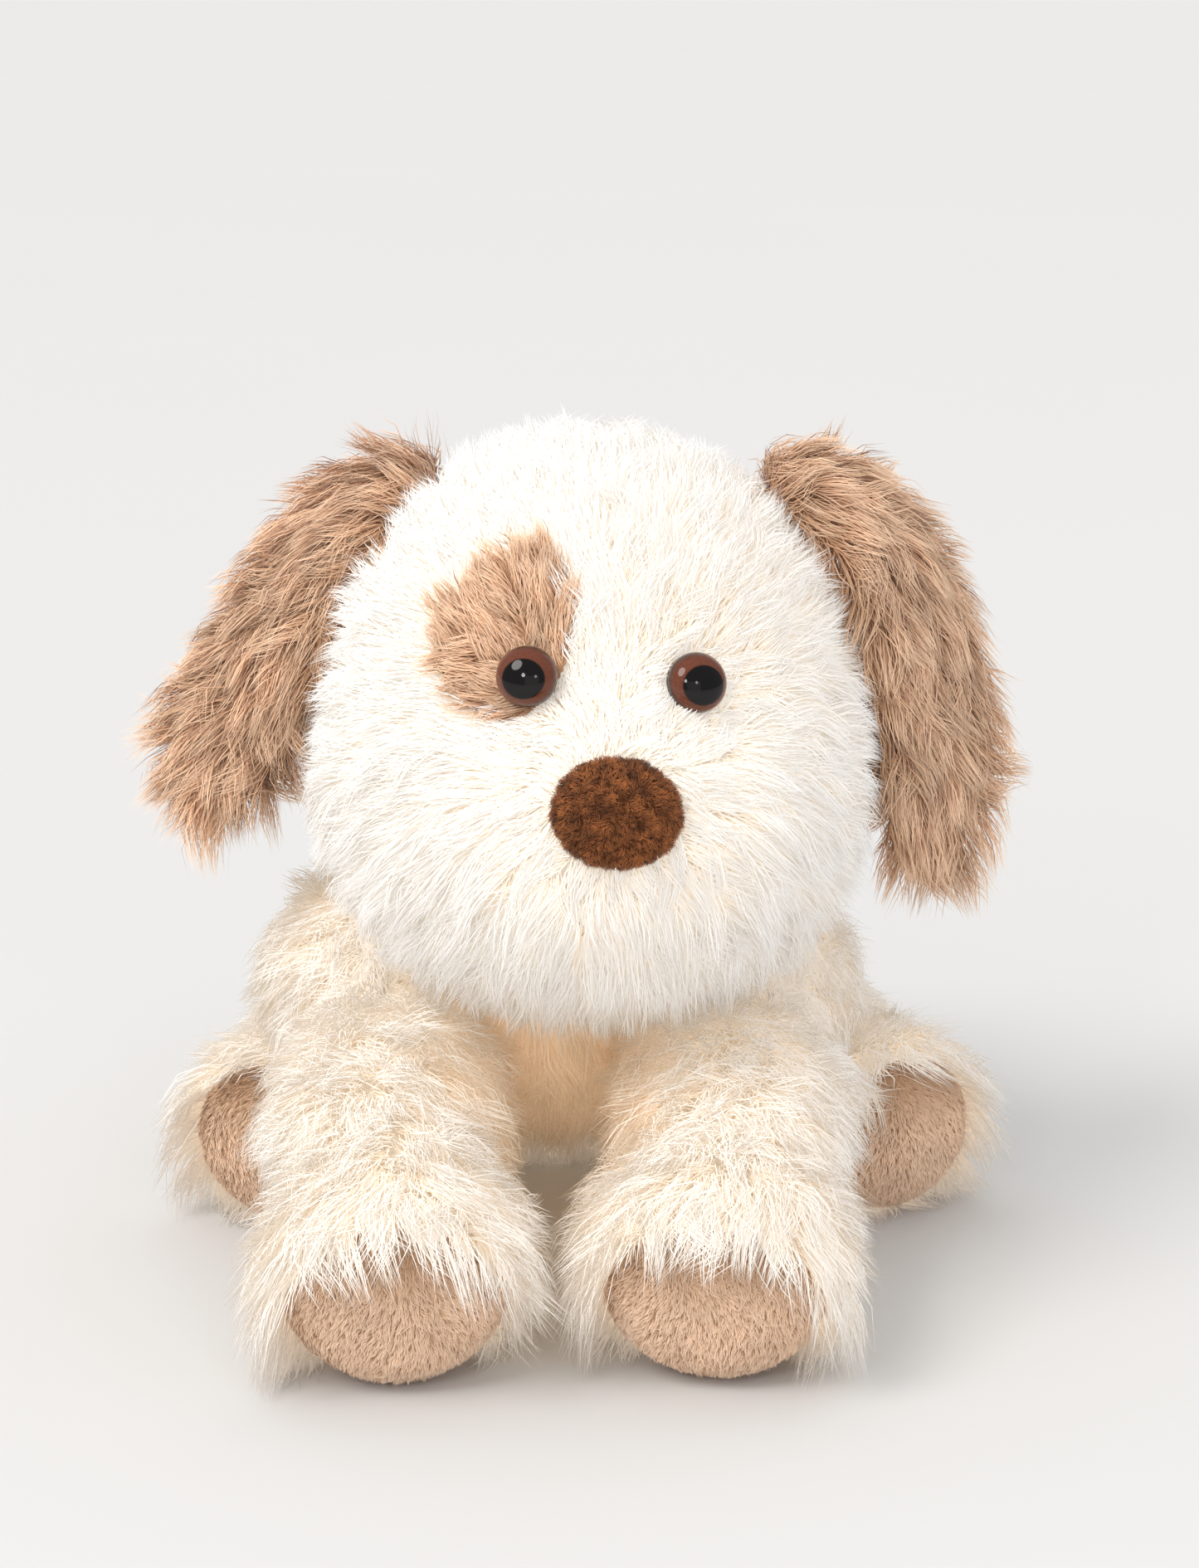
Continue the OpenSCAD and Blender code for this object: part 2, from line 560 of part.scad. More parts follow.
// ---- legs ----
// a leg's frame: pole at the root, then sideways outward, then up
function leg_frame(root, end, s) =
  let (a = unit(root - end), b = unit(cross([0, 0, 1], a)) * -s, c = cross(a, b)) [a, b, c];
function foreleg_form(s) = [
  [[shoulder(s), [foreleg_width / 2, foreleg_width / 2, foreleg_width / 2]],
   [(shoulder(s) + paw(s)) / 2, [foreleg_width * 0.48, foreleg_length * 0.42, foreleg_width * 0.46]],
   [paw(s), [paw_radius, paw_radius * 1.5, paw_radius * 0.92]]],
  [],
  [[unit([s * -0.03, -1, 0.04]), [0, sole_y(s), 0]], [[-s, 0, 0], [mid_x + s * 1.6, 0, 0]]],
  []];
function hindleg_form(s) = [
  [[hip(s), [hindleg_width / 2, hindleg_width / 2, hindleg_width / 2]],
   [(hip(s) + foot(s)) / 2, [hindleg_width * 0.5, hindleg_width * 0.9, hindleg_width * 0.48]],
   [foot(s), [foot_radius * 1.03, foot_radius * 1.1, foot_radius]]],
  [for (along = [0, 16, 32, 50, 68]) for (turn = foreleg_sweep)
    foreleg_ball(s, along, turn, joint_clearance + facet_room)],
  [[leg_way(s), foot_end(s)]],
  []];
function foreleg_middle(s) = (shoulder(s) + paw(s)) / 2 + [0, 0, -2];
function hindleg_middle(s) = (hip(s) + foot(s)) / 2;
// angle from the root's end of each leg at which the skin stops and the sole begins
foreleg_sole_angle = 158;
hindleg_sole_angle = 154;
foreleg_rows = [4, 10, 16, 21, 26, 33, 46, 62, 80, 98, 114, 129, 141, 150, foreleg_sole_angle];
hindleg_rows = [4, 11, 18, 25, 32, 42, 56, 72, 90, 106, 121, 134, 145, hindleg_sole_angle];
leg_ring = 20;
module leg_skin(o, frame, form, rows, side) {
  half = side == 1 ? between(-90, 90, leg_ring / 2, foreleg_width / 2)
    : between(90, 270, leg_ring / 2, foreleg_width / 2);
  handed = cross(frame[0], frame[1]) * frame[2] > 0 ? half : [for (i = [len(half) - 1:-1:0]) half[i]];
  trimmed = [for (i = [0:len(rows) - 1]) rows[i] - (i == len(rows) - 1 ? seam / foreleg_width * radian : 0)];
  panel(o, frame, form, trimmed, handed);
}
module leg_sole(o, frame, form, last) {
  back = [-frame[0], frame[1], -frame[2]];
  n = 5;
  round_panel(o, back, form, [for (i = [1:n]) (180 - last) * i / n], ring(leg_ring));
}
module leg_stuffing(o, frame, form, rows) {
  stuffing(o, frame, form, concat(rows, [for (i = [4:-1:1]) 180 - (180 - rows[len(rows) - 1]) * i / 5]),
    [for (i = [0:leg_ring - 1]) -90 + 360 * i / leg_ring]);
}
function foreleg_frame(s) = leg_frame(shoulder(s), paw(s), s);
function hindleg_frame(s) = leg_frame(hip(s), foot(s), s);

module foreleg_outer_left() {
  color(cream) leg_skin(foreleg_middle(left), foreleg_frame(left), foreleg_form(left),
    foreleg_rows, 1);
}
module foreleg_inner_left() {
  color(cream) leg_skin(foreleg_middle(left), foreleg_frame(left), foreleg_form(left),
    foreleg_rows, -1);
}
module foreleg_sole_left() {
  color(tan_plush) leg_sole(foreleg_middle(left), foreleg_frame(left), foreleg_form(left),
    foreleg_sole_angle);
}
module foreleg_stuffing_left() {
  color(filling_white) leg_stuffing(foreleg_middle(left), foreleg_frame(left),
    foreleg_form(left), foreleg_rows);
}
module foreleg_outer_right() {
  color(cream) leg_skin(foreleg_middle(right), foreleg_frame(right), foreleg_form(right),
    foreleg_rows, 1);
}
module foreleg_inner_right() {
  color(cream) leg_skin(foreleg_middle(right), foreleg_frame(right), foreleg_form(right),
    foreleg_rows, -1);
}
module foreleg_sole_right() {
  color(tan_plush) leg_sole(foreleg_middle(right), foreleg_frame(right), foreleg_form(right),
    foreleg_sole_angle);
}
module foreleg_stuffing_right() {
  color(filling_white) leg_stuffing(foreleg_middle(right), foreleg_frame(right),
    foreleg_form(right), foreleg_rows);
}
module hindleg_outer_left() {
  color(cream) leg_skin(hindleg_middle(left), hindleg_frame(left), hindleg_form(left),
    hindleg_rows, 1);
}
module hindleg_inner_left() {
  color(cream) leg_skin(hindleg_middle(left), hindleg_frame(left), hindleg_form(left),
    hindleg_rows, -1);
}
module hindleg_sole_left() {
  color(tan_plush) leg_sole(hindleg_middle(left), hindleg_frame(left), hindleg_form(left),
    hindleg_sole_angle);
}
module hindleg_stuffing_left() {
  color(filling_white) leg_stuffing(hindleg_middle(left), hindleg_frame(left),
    hindleg_form(left), hindleg_rows);
}
module hindleg_outer_right() {
  color(cream) leg_skin(hindleg_middle(right), hindleg_frame(right), hindleg_form(right),
    hindleg_rows, 1);
}
module hindleg_inner_right() {
  color(cream) leg_skin(hindleg_middle(right), hindleg_frame(right), hindleg_form(right),
    hindleg_rows, -1);
}
module hindleg_sole_right() {
  color(tan_plush) leg_sole(hindleg_middle(right), hindleg_frame(right), hindleg_form(right),
    hindleg_sole_angle);
}
module hindleg_stuffing_right() {
  color(filling_white) leg_stuffing(hindleg_middle(right), hindleg_frame(right),
    hindleg_form(right), hindleg_rows);
}

// ---- tail ----
tail_tip = tail_root + tail_way * (tail_length + tail_radius * 0.4);
tail_middle = (tail_root + tail_tip) / 2;
tail_form = [
  [[tail_root, [tail_radius, tail_radius, tail_radius]],
   [tail_middle, [tail_radius * 0.95, tail_radius * 1.1, tail_radius]],
   [tail_tip - tail_way * tail_radius * 0.8, [tail_radius * 0.75, tail_radius * 0.85,
    tail_radius * 0.8]]],
  [], [], []];
tail_frame = [-tail_way, [1, 0, 0], cross(-tail_way, [1, 0, 0])];
tail_rows = [5, 25, 45, 65, 85, 105, 125, 145, 165, 175];
module tail_upper() {
  color(cream) panel(tail_middle, tail_frame, tail_form, tail_rows,
    between(180, 360, 7, tail_radius));
}
module tail_lower() {
  color(cream) panel(tail_middle, tail_frame, tail_form, tail_rows,
    between(0, 180, 7, tail_radius));
}
module tail_stuffing() {
  color(filling_white) stuffing(tail_middle, tail_frame, tail_form, tail_rows,
    [for (i = [0:13]) 360 * i / 14]);
}

torso_back_left();
torso_back_right();
torso_belly();
torso_stuffing();
neck_stuffing();
head_side_left();
head_side_right();
head_gusset();
head_chin();
eye_patch();
head_stuffing();
nose_cover();
nose_stuffing();
eye_lens_left();
eye_lens_right();
eye_stem_left();
eye_stem_right();
eye_washers();
ear_back_left();
ear_front_left();
ear_back_right();
ear_front_right();
foreleg_outer_left();
foreleg_inner_left();
foreleg_sole_left();
foreleg_stuffing_left();
foreleg_outer_right();
foreleg_inner_right();
foreleg_sole_right();
foreleg_stuffing_right();
hindleg_outer_left();
hindleg_inner_left();
hindleg_sole_left();
hindleg_stuffing_left();
hindleg_outer_right();
hindleg_inner_right();
hindleg_sole_right();
hindleg_stuffing_right();
tail_upper();
tail_lower();
tail_stuffing();
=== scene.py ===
"""Dresses the frame of a sitting plush dog: long cream and tan pile grown from sewn panels,
short-pile soles, a padded nose and glossy moulded eyes, on a pale studio floor."""

import math

import bpy
import numpy as np
from bpy.props import FloatProperty, FloatVectorProperty, IntProperty, PointerProperty
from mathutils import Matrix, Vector, kdtree
from mathutils.bvhtree import BVHTree


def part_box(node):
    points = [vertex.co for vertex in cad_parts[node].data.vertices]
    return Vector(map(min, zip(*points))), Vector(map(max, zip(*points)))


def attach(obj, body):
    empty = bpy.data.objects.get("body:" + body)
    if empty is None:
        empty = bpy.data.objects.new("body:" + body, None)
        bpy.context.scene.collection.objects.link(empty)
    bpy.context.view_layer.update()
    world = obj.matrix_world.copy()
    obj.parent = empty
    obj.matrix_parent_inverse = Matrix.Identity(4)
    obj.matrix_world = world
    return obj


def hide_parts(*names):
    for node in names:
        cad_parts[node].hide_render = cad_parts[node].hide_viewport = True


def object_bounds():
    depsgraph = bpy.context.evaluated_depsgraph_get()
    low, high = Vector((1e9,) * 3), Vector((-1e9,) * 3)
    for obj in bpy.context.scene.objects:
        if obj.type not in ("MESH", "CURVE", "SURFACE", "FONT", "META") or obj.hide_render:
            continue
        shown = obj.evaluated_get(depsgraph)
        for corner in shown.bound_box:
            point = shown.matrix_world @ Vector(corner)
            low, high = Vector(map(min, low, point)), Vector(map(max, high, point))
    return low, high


bl_info = {
    "name": "Plush Dog Workshop",
    "version": (1, 0, 0),
    "blender": (4, 5, 0),
    "location": "3D View > Sidebar > Plush",
    "description": "Grows pile on the sewn panels of a plush dog and sets it on a studio floor",
    "category": "Object",
}

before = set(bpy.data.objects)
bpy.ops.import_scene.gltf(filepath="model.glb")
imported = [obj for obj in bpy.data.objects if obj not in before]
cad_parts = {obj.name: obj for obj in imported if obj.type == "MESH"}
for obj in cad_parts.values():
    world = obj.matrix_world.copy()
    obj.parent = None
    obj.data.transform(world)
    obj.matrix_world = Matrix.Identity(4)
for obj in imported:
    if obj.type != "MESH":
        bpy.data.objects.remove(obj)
CAD_LOW, CAD_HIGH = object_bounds()

MM = 0.001
UP = np.array([0.0, 0.0, 1.0])
SIDES = {"left": 1, "right": -1}

# how each body is sewn: its fabric panels
TORSO = ["torso_back_left", "torso_back_right", "torso_belly"]
HEAD = ["head_side_left", "head_side_right", "head_gusset", "head_chin"]
TAIL = ["tail_upper", "tail_lower"]


def ear_panels(side):
    return [f"ear_back_{side}", f"ear_front_{side}"]


def leg_panels(kind, side):
    return [f"{kind}_{part}_{side}" for part in ("outer", "inner", "sole")]


# ---------------------------------------------------------------- places from the frame


def middle(node):
    """Middle of a node's box."""
    low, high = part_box(node)
    return np.array((low + high) / 2)


def extent(node):
    """The lowest and highest corner of a node's box, as arrays."""
    low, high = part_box(node)
    return np.array(low), np.array(high)


def taken(items, key, kind=float):
    """A three-part property of every vertex or triangle, as rows of an array."""
    values = np.zeros(len(items) * 3, kind)
    items.foreach_get(key, values)
    return values.reshape(-1, 3)


def node_arrays(names):
    """Vertices, triangles and the index of the node that each triangle is from."""
    points, faces, owners, count = [], [], [], 0
    for index, name in enumerate(names):
        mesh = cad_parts[name].data
        mesh.calc_loop_triangles()
        triangles = taken(mesh.loop_triangles, "vertices", np.int32)
        points.append(taken(mesh.vertices, "co"))
        faces.append(triangles + count)
        owners.append(np.full(len(triangles), index))
        count += len(points[-1])
    return np.concatenate(points), np.concatenate(faces), np.concatenate(owners)


def unit(v):
    return v / np.maximum(np.linalg.norm(v, axis=-1, keepdims=True), 1e-9)


def rise(x, a, b):
    """Goes smoothly from 0 at a to 1 at b."""
    t = np.clip((x - a) / (b - a), 0, 1)
    return t * t * (3 - 2 * t)


def across(v, normal):
    """The part of v that lies along the surface."""
    return unit(v - (v * normal).sum(1, keepdims=True) * normal)


# ---------------------------------------------------------------- hides


def plain_mesh(name, points, faces):
    mesh = bpy.data.meshes.new(name)
    mesh.from_pydata(points.tolist(), [], faces.tolist())
    return mesh


def remeshed(name, points, faces, voxel, smoothing):
    """Points, triangles and normals of one smooth closed skin round the given solids."""
    obj = bpy.data.objects.new(name, plain_mesh(name, points, faces))
    bpy.context.scene.collection.objects.link(obj)
    remesh = obj.modifiers.new("join", "REMESH")
    remesh.mode = "VOXEL"
    remesh.voxel_size = voxel
    soften = obj.modifiers.new("soften", "SMOOTH")
    soften.factor = 0.5
    soften.iterations = smoothing
    made = obj.evaluated_get(bpy.context.evaluated_depsgraph_get()).to_mesh()
    made.calc_loop_triangles()
    skin = (taken(made.vertices, "co"), taken(made.loop_triangles, "vertices", np.int32),
            taken(made.vertices, "normal"))
    mesh = obj.data
    bpy.data.objects.remove(obj)
    bpy.data.meshes.remove(mesh)
    return skin


class Hide:
    """The smooth skin of one body, split into its sewn panels."""

    def __init__(self, body, panels, inside=(), voxel=2.4 * MM, smoothing=4):
        self.body, self.panels = body, panels
        points, faces, _ = node_arrays([*panels, *inside])
        self.points, self.faces, self.normals = remeshed(body, points, faces, voxel, smoothing)
        cad, cad_faces, owner = node_arrays(panels)
        nearest = BVHTree.FromPolygons(cad.tolist(), cad_faces.tolist())
        centres = self.points[self.faces].mean(1)
        self.owner = np.array([owner[nearest.find_nearest(c)[2]] for c in centres.tolist()])
        self.tree = BVHTree.FromPolygons(self.points.tolist(), self.faces.tolist())

    def depth(self, points):
        """How deep each point lies inside this skin; negative outside."""
        found = []
        for p in points.tolist():
            place, normal, _, far = self.tree.find_nearest(p)
            found.append(-far if (Vector(p) - place).dot(normal) > 0 else far)
        return np.array(found)


hides = {}


def make_hides():
    hides["torso"] = Hide("torso", TORSO, ["torso_stuffing"])
    hides["neck"] = Hide("neck", ["neck_stuffing"])
    hides["head"] = Hide("head", HEAD, ["head_stuffing"], 2.2 * MM)
    hides["tail"] = Hide("tail", TAIL, ["tail_stuffing"], 1.6 * MM)
    for side in SIDES:
        hides[f"ear_{side}"] = Hide(f"ear_{side}", ear_panels(side), (), 1.2 * MM, 3)
        for kind in ("foreleg", "hindleg"):
            body = f"{kind}_{side}"
            hides[body] = Hide(body, leg_panels(kind, side), [f"{kind}_stuffing_{side}"], 1.8 * MM)


# ---------------------------------------------------------------- pile


# lengths that locks, strands and the short under-pile take, as shares of the pile's own
LOCK_LENGTHS, STRAND_LENGTHS, UNDER_LENGTHS = (0.82, 1.14), (0.86, 1.06), (0.5, 0.78)
# how much locks and strands stray sideways and up, in radians
LOCK_TURN, STRAND_TURN, LOCK_LEAN, STRAND_LEAN = 0.36, 0.26, 0.12, 0.14
CURL, TAPER = 0.10, 0.72
LOCK_SHADE = 0.55


def strand_faces(rows):
    """Corners of one strand's faces: a ladder of quads with a pointed end."""
    corners, starts = [], []
    for k in range(rows - 1):
        starts.append(len(corners))
        corners += [2 * k, 2 * k + 1, 2 * k + 3, 2 * k + 2]
    starts.append(len(corners))
    corners += [2 * rows - 2, 2 * rows - 1, 2 * rows]
    return np.array(corners), np.array(starts)


def scatter(hide, chosen, density, rng):
    """Roots, normals and source triangles spread evenly over the chosen triangles."""
    corners = hide.points[hide.faces[chosen]]
    area = np.linalg.norm(np.cross(corners[:, 1] - corners[:, 0], corners[:, 2] - corners[:, 0]),
                          axis=1) / 2
    total = area.sum()
    count = int(total * density)
    if count < 1:
        return np.zeros((0, 3)), np.zeros((0, 3))
    place = (np.arange(count) + rng.random(count)) / count * total
    pick = np.minimum(np.searchsorted(np.cumsum(area), place), len(area) - 1)
    a, b = rng.random((2, count))
    over = a + b > 1
    a[over], b[over] = 1 - a[over], 1 - b[over]
    share = np.stack([1 - a - b, a, b], 1)[:, :, None]
    tri = hide.faces[chosen][pick]
    return (hide.points[tri] * share).sum(1), unit((hide.normals[tri] * share).sum(1))


def gather_points(roots, area_each, density, rng):
    """For every root, the index of the root at the middle of its lock."""
    count = max(1, int(len(roots) / (area_each * density)))
    middles = rng.choice(len(roots), count, replace=False)
    tree = kdtree.KDTree(count)
    for i in middles:
        tree.insert(roots[i], int(i))
    tree.balance()
    return np.array([tree.find(p)[1] for p in roots.tolist()])


def centre_lines(roots, normals, way, length, lean, droop, mess, steps, rng):
    """Curves of strands, as an array of strands, steps and axes."""
    count = len(roots)
    side = np.cross(normals, way)
    turn = (rng.normal(0, STRAND_TURN, count) * mess)[:, None]
    way = way * np.cos(turn) + side * np.sin(turn)
    side = np.cross(normals, way)
    t = np.linspace(0, 1, steps)[None, :, None]
    lean = lean[:, None, None]
    long = length[:, None, None]
    n, f, s = normals[:, None, :], way[:, None, :], side[:, None, :]
    start = n * np.cos(lean) + f * np.sin(lean)
    bend = f * 0.30 - n * 0.18
    phase = rng.random((count, 1, 1)) * 2 * math.pi
    curl = np.sin(phase + 4.6 * t) * s + 0.6 * np.cos(phase * 1.7 + 5.2 * t) * n
    swing = CURL * mess[:, None, None] * t * curl
    fall = -UP[None, None, :] * droop[:, None, None] * t * t
    return roots[:, None, :] + long * (start * t + bend * t * t + swing + fall)


def grow(hide, panel, style, length, density, width, lock_area, gather, seed, steps=4,
         keep=None, under=0.35):
    """Strands of one panel as arrays: points, normals, along, shade and strand count."""
    pile = bpy.context.scene.plush_pile
    rng = np.random.default_rng(seed + pile.seed)
    index = hide.panels.index(panel)
    roots, normals = scatter(hide, hide.owner == index, density / MM**2, rng)
    held = np.ones(len(roots), bool) if keep is None else keep(roots, normals)
    roots, normals = roots[held], normals[held]
    if not len(roots):
        return None
    look = style(roots, normals)
    flow = across(look["flow"], normals)
    locks = gather_points(roots, lock_area * MM**2, density / MM**2, rng)
    lock_length = rng.uniform(*LOCK_LENGTHS, len(roots))[locks]
    own = rng.uniform(*STRAND_LENGTHS, len(roots))
    short = rng.random(len(roots)) < under
    own[short] *= rng.uniform(*UNDER_LENGTHS, short.sum())
    reach = length * look["length"] * own * lock_length
    mess = look.get("mess", np.ones(len(roots)))
    lock_turn = (rng.normal(0, LOCK_TURN, len(roots))[locks] * mess)[:, None]
    flow = flow * np.cos(lock_turn) + np.cross(normals, flow) * np.sin(lock_turn)
    lean = look["lean"] + mess * (rng.normal(0, STRAND_LEAN, len(roots))
                                  + rng.normal(0, LOCK_LEAN, len(roots))[locks])
    lines = centre_lines(roots, normals, flow, reach, lean, look["droop"], mess, steps, rng)
    t = np.linspace(0, 1, steps)[None, :, None]
    pull = (gather * rng.uniform(0.55, 1.0, len(roots)))[:, None, None] * t**1.35
    apart = roots[:, None, :] - roots[locks][:, None, :]
    share = (reach / np.maximum(reach[locks], 1e-6))[:, None, None]
    shared = lines[locks] * share + roots[locks][:, None, :] * (1 - share)
    lines = lines * (1 - pull) + (shared + apart * 0.25) * pull
    # ribbons
    run = unit(np.gradient(lines, axis=1))
    facing = unit(normals[:, None, :] - (run * normals[:, None, :]).sum(2, keepdims=True) * run
                  - flow[:, None, :] * 0.05)
    twist = rng.uniform(-0.9, 0.9, (len(roots), 1, 1)) + 0.4 * t
    facing = facing * np.cos(twist) + np.cross(run, facing) * np.sin(twist)
    side = np.cross(run, facing)
    wide = width * rng.uniform(0.75, 1.25, (len(roots), 1, 1)) * (1 - TAPER * t**2) / 2
    left, right = lines - side * wide, lines + side * wide
    points = np.concatenate([np.stack([left, right], 2)[:, :-1].reshape(len(roots), -1, 3),
                             lines[:, -1:]], 1)
    soft = unit(facing * 0.38 + normals[:, None, :] * 0.9)
    bent = np.concatenate([np.stack([unit(soft - side * 0.3), unit(soft + side * 0.3)], 2)
                           [:, :-1].reshape(len(roots), -1, 3), soft[:, -1:]], 1)
    along = np.concatenate([np.repeat(np.linspace(0, 1, steps)[:-1], 2), [1.0]])
    shade = (rng.random(len(roots)) * (1 - LOCK_SHADE)
             + rng.random(len(roots))[locks] * LOCK_SHADE)
    per = points.shape[1]
    return {
        "points": points.reshape(-1, 3),
        "normals": bent.reshape(-1, 3),
        "along": np.tile(along, len(roots)),
        "shade": np.repeat(shade, per),
        "tint_and_painted_shade": np.repeat(look.get("tint_and_painted_shade", np.zeros(len(roots))), per),
        "count": len(roots),
        "rows": steps - 1,
    }


# how far the pile may stand proud of the frame's box, and how high it ends above the floor
PROUD_SHARE, PROUD, FLOOR_GAP = 0.03, 9 * MM, 0.3 * MM


def inside_limits(points):
    """Keeps every point above the floor and within the room that fabric may stand proud."""
    low, high = np.array(CAD_LOW), np.array(CAD_HIGH)
    room = PROUD_SHARE * (high - low) + PROUD
    low_edge = low - room
    low_edge[2] = FLOOR_GAP
    return np.clip(points, low_edge, high + room)


def sewn_piece(name, body, skin, coat, materials, replaced):
    """One mesh object: a panel's skin, with its coat of pile standing on it."""
    points, faces, normals = skin
    all_points, all_normals = [points], [normals]
    bare = np.zeros(len(points))
    marks = {"along": [bare], "shade": [bare + 0.5], "tint_and_painted_shade": [bare]}
    loops, starts = [faces.reshape(-1)], [np.arange(len(faces)) * 3]
    kinds = [np.zeros(len(faces), np.int32)]
    count = len(points)
    if coat is not None:
        corners, firsts = strand_faces(coat["rows"])
        strand = np.arange(coat["count"])[:, None]
        loops.append((count + strand * (2 * coat["rows"] + 1) + corners).reshape(-1))
        starts.append((faces.size + strand * len(corners) + firsts).reshape(-1))
        kinds.append(np.ones(coat["count"] * len(firsts), np.int32))
        all_points.append(coat["points"])
        all_normals.append(coat["normals"])
        for label, values in marks.items():
            values.append(coat[label])
        count += len(coat["points"])
    mesh = bpy.data.meshes.new(name)
    mesh.vertices.add(count)
    co = inside_limits(np.concatenate(all_points))
    mesh.vertices.foreach_set("co", co.astype(np.float32).reshape(-1))
    loop = np.concatenate(loops).astype(np.int32)
    mesh.loops.add(len(loop))
    mesh.loops.foreach_set("vertex_index", loop)
    start = np.concatenate(starts).astype(np.int32)
    mesh.polygons.add(len(start))
    mesh.polygons.foreach_set("loop_start", start)
    mesh.polygons.foreach_set("material_index", np.concatenate(kinds).astype(np.int32))
    mesh.polygons.foreach_set("use_smooth", np.ones(len(start), bool))
    mesh.update(calc_edges=True)
    for label, values in marks.items():
        kept = mesh.attributes.new(f"pile_{label}", "FLOAT", "POINT")
        kept.data.foreach_set("value", np.concatenate(values).astype(np.float32))
    mesh.normals_split_custom_set_from_vertices(np.concatenate(all_normals).astype(np.float32))
    for material in materials:
        mesh.materials.append(material)
    obj = bpy.data.objects.new(name, mesh)
    bpy.context.scene.collection.objects.link(obj)
    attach(obj, body)
    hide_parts(*replaced)
    return obj


def panel_skin(hide, panel):
    """Points, triangles and normals of one panel, with its own numbering."""
    faces = hide.faces[hide.owner == hide.panels.index(panel)]
    used, inverse = np.unique(faces, return_inverse=True)
    return hide.points[used], inverse.reshape(-1, 3), hide.normals[used]


# ---------------------------------------------------------------- materials


def new_group(name, inputs, outputs):
    """An empty shader node group with the named sockets, and its two end nodes."""
    group = bpy.data.node_groups.new(name, "ShaderNodeTree")
    for label, kind, value in inputs:
        socket = group.interface.new_socket(label, in_out="INPUT", socket_type=kind)
        if value is not None:
            socket.default_value = value
    for label, kind in outputs:
        group.interface.new_socket(label, in_out="OUTPUT", socket_type=kind)
    return group, group.nodes.new("NodeGroupInput"), group.nodes.new("NodeGroupOutput")


def joined(tree, source, target):
    tree.links.new(source, target)


def fed(tree, slot, value):
    """Sets a socket to a number or colour, or joins another socket to it."""
    if isinstance(value, (int, float, tuple)):
        slot.default_value = value
    else:
        joined(tree, value, slot)


def maths(tree, operation, a, b=None, c=None, clamp=False):
    """A Math node fed with sockets or numbers; gives its output."""
    node = tree.nodes.new("ShaderNodeMath")
    node.operation = operation
    node.use_clamp = clamp
    for slot, value in zip(node.inputs, (a, b, c)):
        if value is not None:
            fed(tree, slot, value)
    return node.outputs[0]


def mixed(tree, share, a, b):
    """A colour Mix node fed with sockets or colours; gives its output."""
    node = tree.nodes.new("ShaderNodeMix")
    node.data_type = "RGBA"
    for slot, value in ((node.inputs[0], share), (node.inputs[6], a), (node.inputs[7], b)):
        fed(tree, slot, value)
    return node.outputs[2]


def noise(tree, vector, scale, detail=2.0):
    node = tree.nodes.new("ShaderNodeTexNoise")
    tuned(node, Scale=scale, Detail=detail)
    tree.links.new(vector, node.inputs["Vector"])
    return node.outputs["Fac"]


def place(tree):
    return tree.nodes.new("ShaderNodeTexCoord").outputs["Object"]


def attribute(tree, name):
    node = tree.nodes.new("ShaderNodeAttribute")
    node.attribute_name = name
    return node.outputs["Fac"]


PILE_ROUGHNESS, PILE_GLOSS_SPREAD = 0.75 - 0.08, 0.15
PILE_SHEEN, PILE_SHEEN_ROUGHNESS, PILE_SPECULAR = 0.25, 0.4, 0.25
TUFT_DEPTH = 0.6 * MM


def pile_colour_group():
    """Dyed pile, root to tip, with strand, lock and patchy variation, painted shade and glow."""
    if "Pile Colour And Painted Light" in bpy.data.node_groups:
        return bpy.data.node_groups["Pile Colour And Painted Light"]
    group, ins, outs = new_group("Pile Colour And Painted Light", [
        ("Root", "NodeSocketColor", (0.5, 0.4, 0.3, 1)),
        ("Middle", "NodeSocketColor", (0.7, 0.6, 0.5, 1)),
        ("Tip", "NodeSocketColor", (0.9, 0.85, 0.8, 1)),
        ("Shade", "NodeSocketColor", (0.7, 0.5, 0.3, 1)),
        ("Strand Variation", "NodeSocketFloat", 0.2),
        ("Patch Variation", "NodeSocketFloat", 0.1),
        ("Patch Scale", "NodeSocketFloat", 60.0),
    ], [("Colour", "NodeSocketColor"), ("Painted Glow", "NodeSocketColor")])
    along = attribute(group, "pile_along")
    shade = attribute(group, "pile_shade")
    low = maths(group, "MULTIPLY", along, 2.0, clamp=True)
    high = maths(group, "MULTIPLY_ADD", along, 2.0, -1.0, clamp=True)
    colour = mixed(group, low, ins.outputs["Root"], ins.outputs["Middle"])
    colour = mixed(group, high, colour, ins.outputs["Tip"])
    # painted shade: strands that carry it turn towards the Shade colour; on the tan patch it is a
    # lighter tint
    colour = mixed(group, attribute(group, "pile_tint_and_painted_shade"), colour, ins.outputs["Shade"])
    spread = maths(group, "MULTIPLY", maths(group, "SUBTRACT", shade, 0.5),
                   ins.outputs["Strand Variation"])
    patch = group.nodes.new("ShaderNodeTexNoise")
    joined(group, place(group), patch.inputs["Vector"])
    joined(group, ins.outputs["Patch Scale"], patch.inputs["Scale"])
    cloud = maths(group, "MULTIPLY", maths(group, "SUBTRACT", patch.outputs["Fac"], 0.5),
                  ins.outputs["Patch Variation"])
    value = maths(group, "ADD", 1.0, maths(group, "ADD", spread, cloud))
    tint = group.nodes.new("ShaderNodeHueSaturation")
    joined(group, value, tint.inputs["Value"])
    joined(group, colour, tint.inputs["Color"])
    joined(group, tint.outputs["Color"], outs.inputs["Colour"])
    # painted glow: a warm colour, strongest at the roots and gone at the tips, given out as emission
    depth = maths(group, "SUBTRACT", 1.0, along, clamp=True)
    warm = mixed(group, 0.35, colour, ins.outputs["Shade"])
    joined(group, mixed(group, depth, (0, 0, 0, 1), warm), outs.inputs["Painted Glow"])
    return group


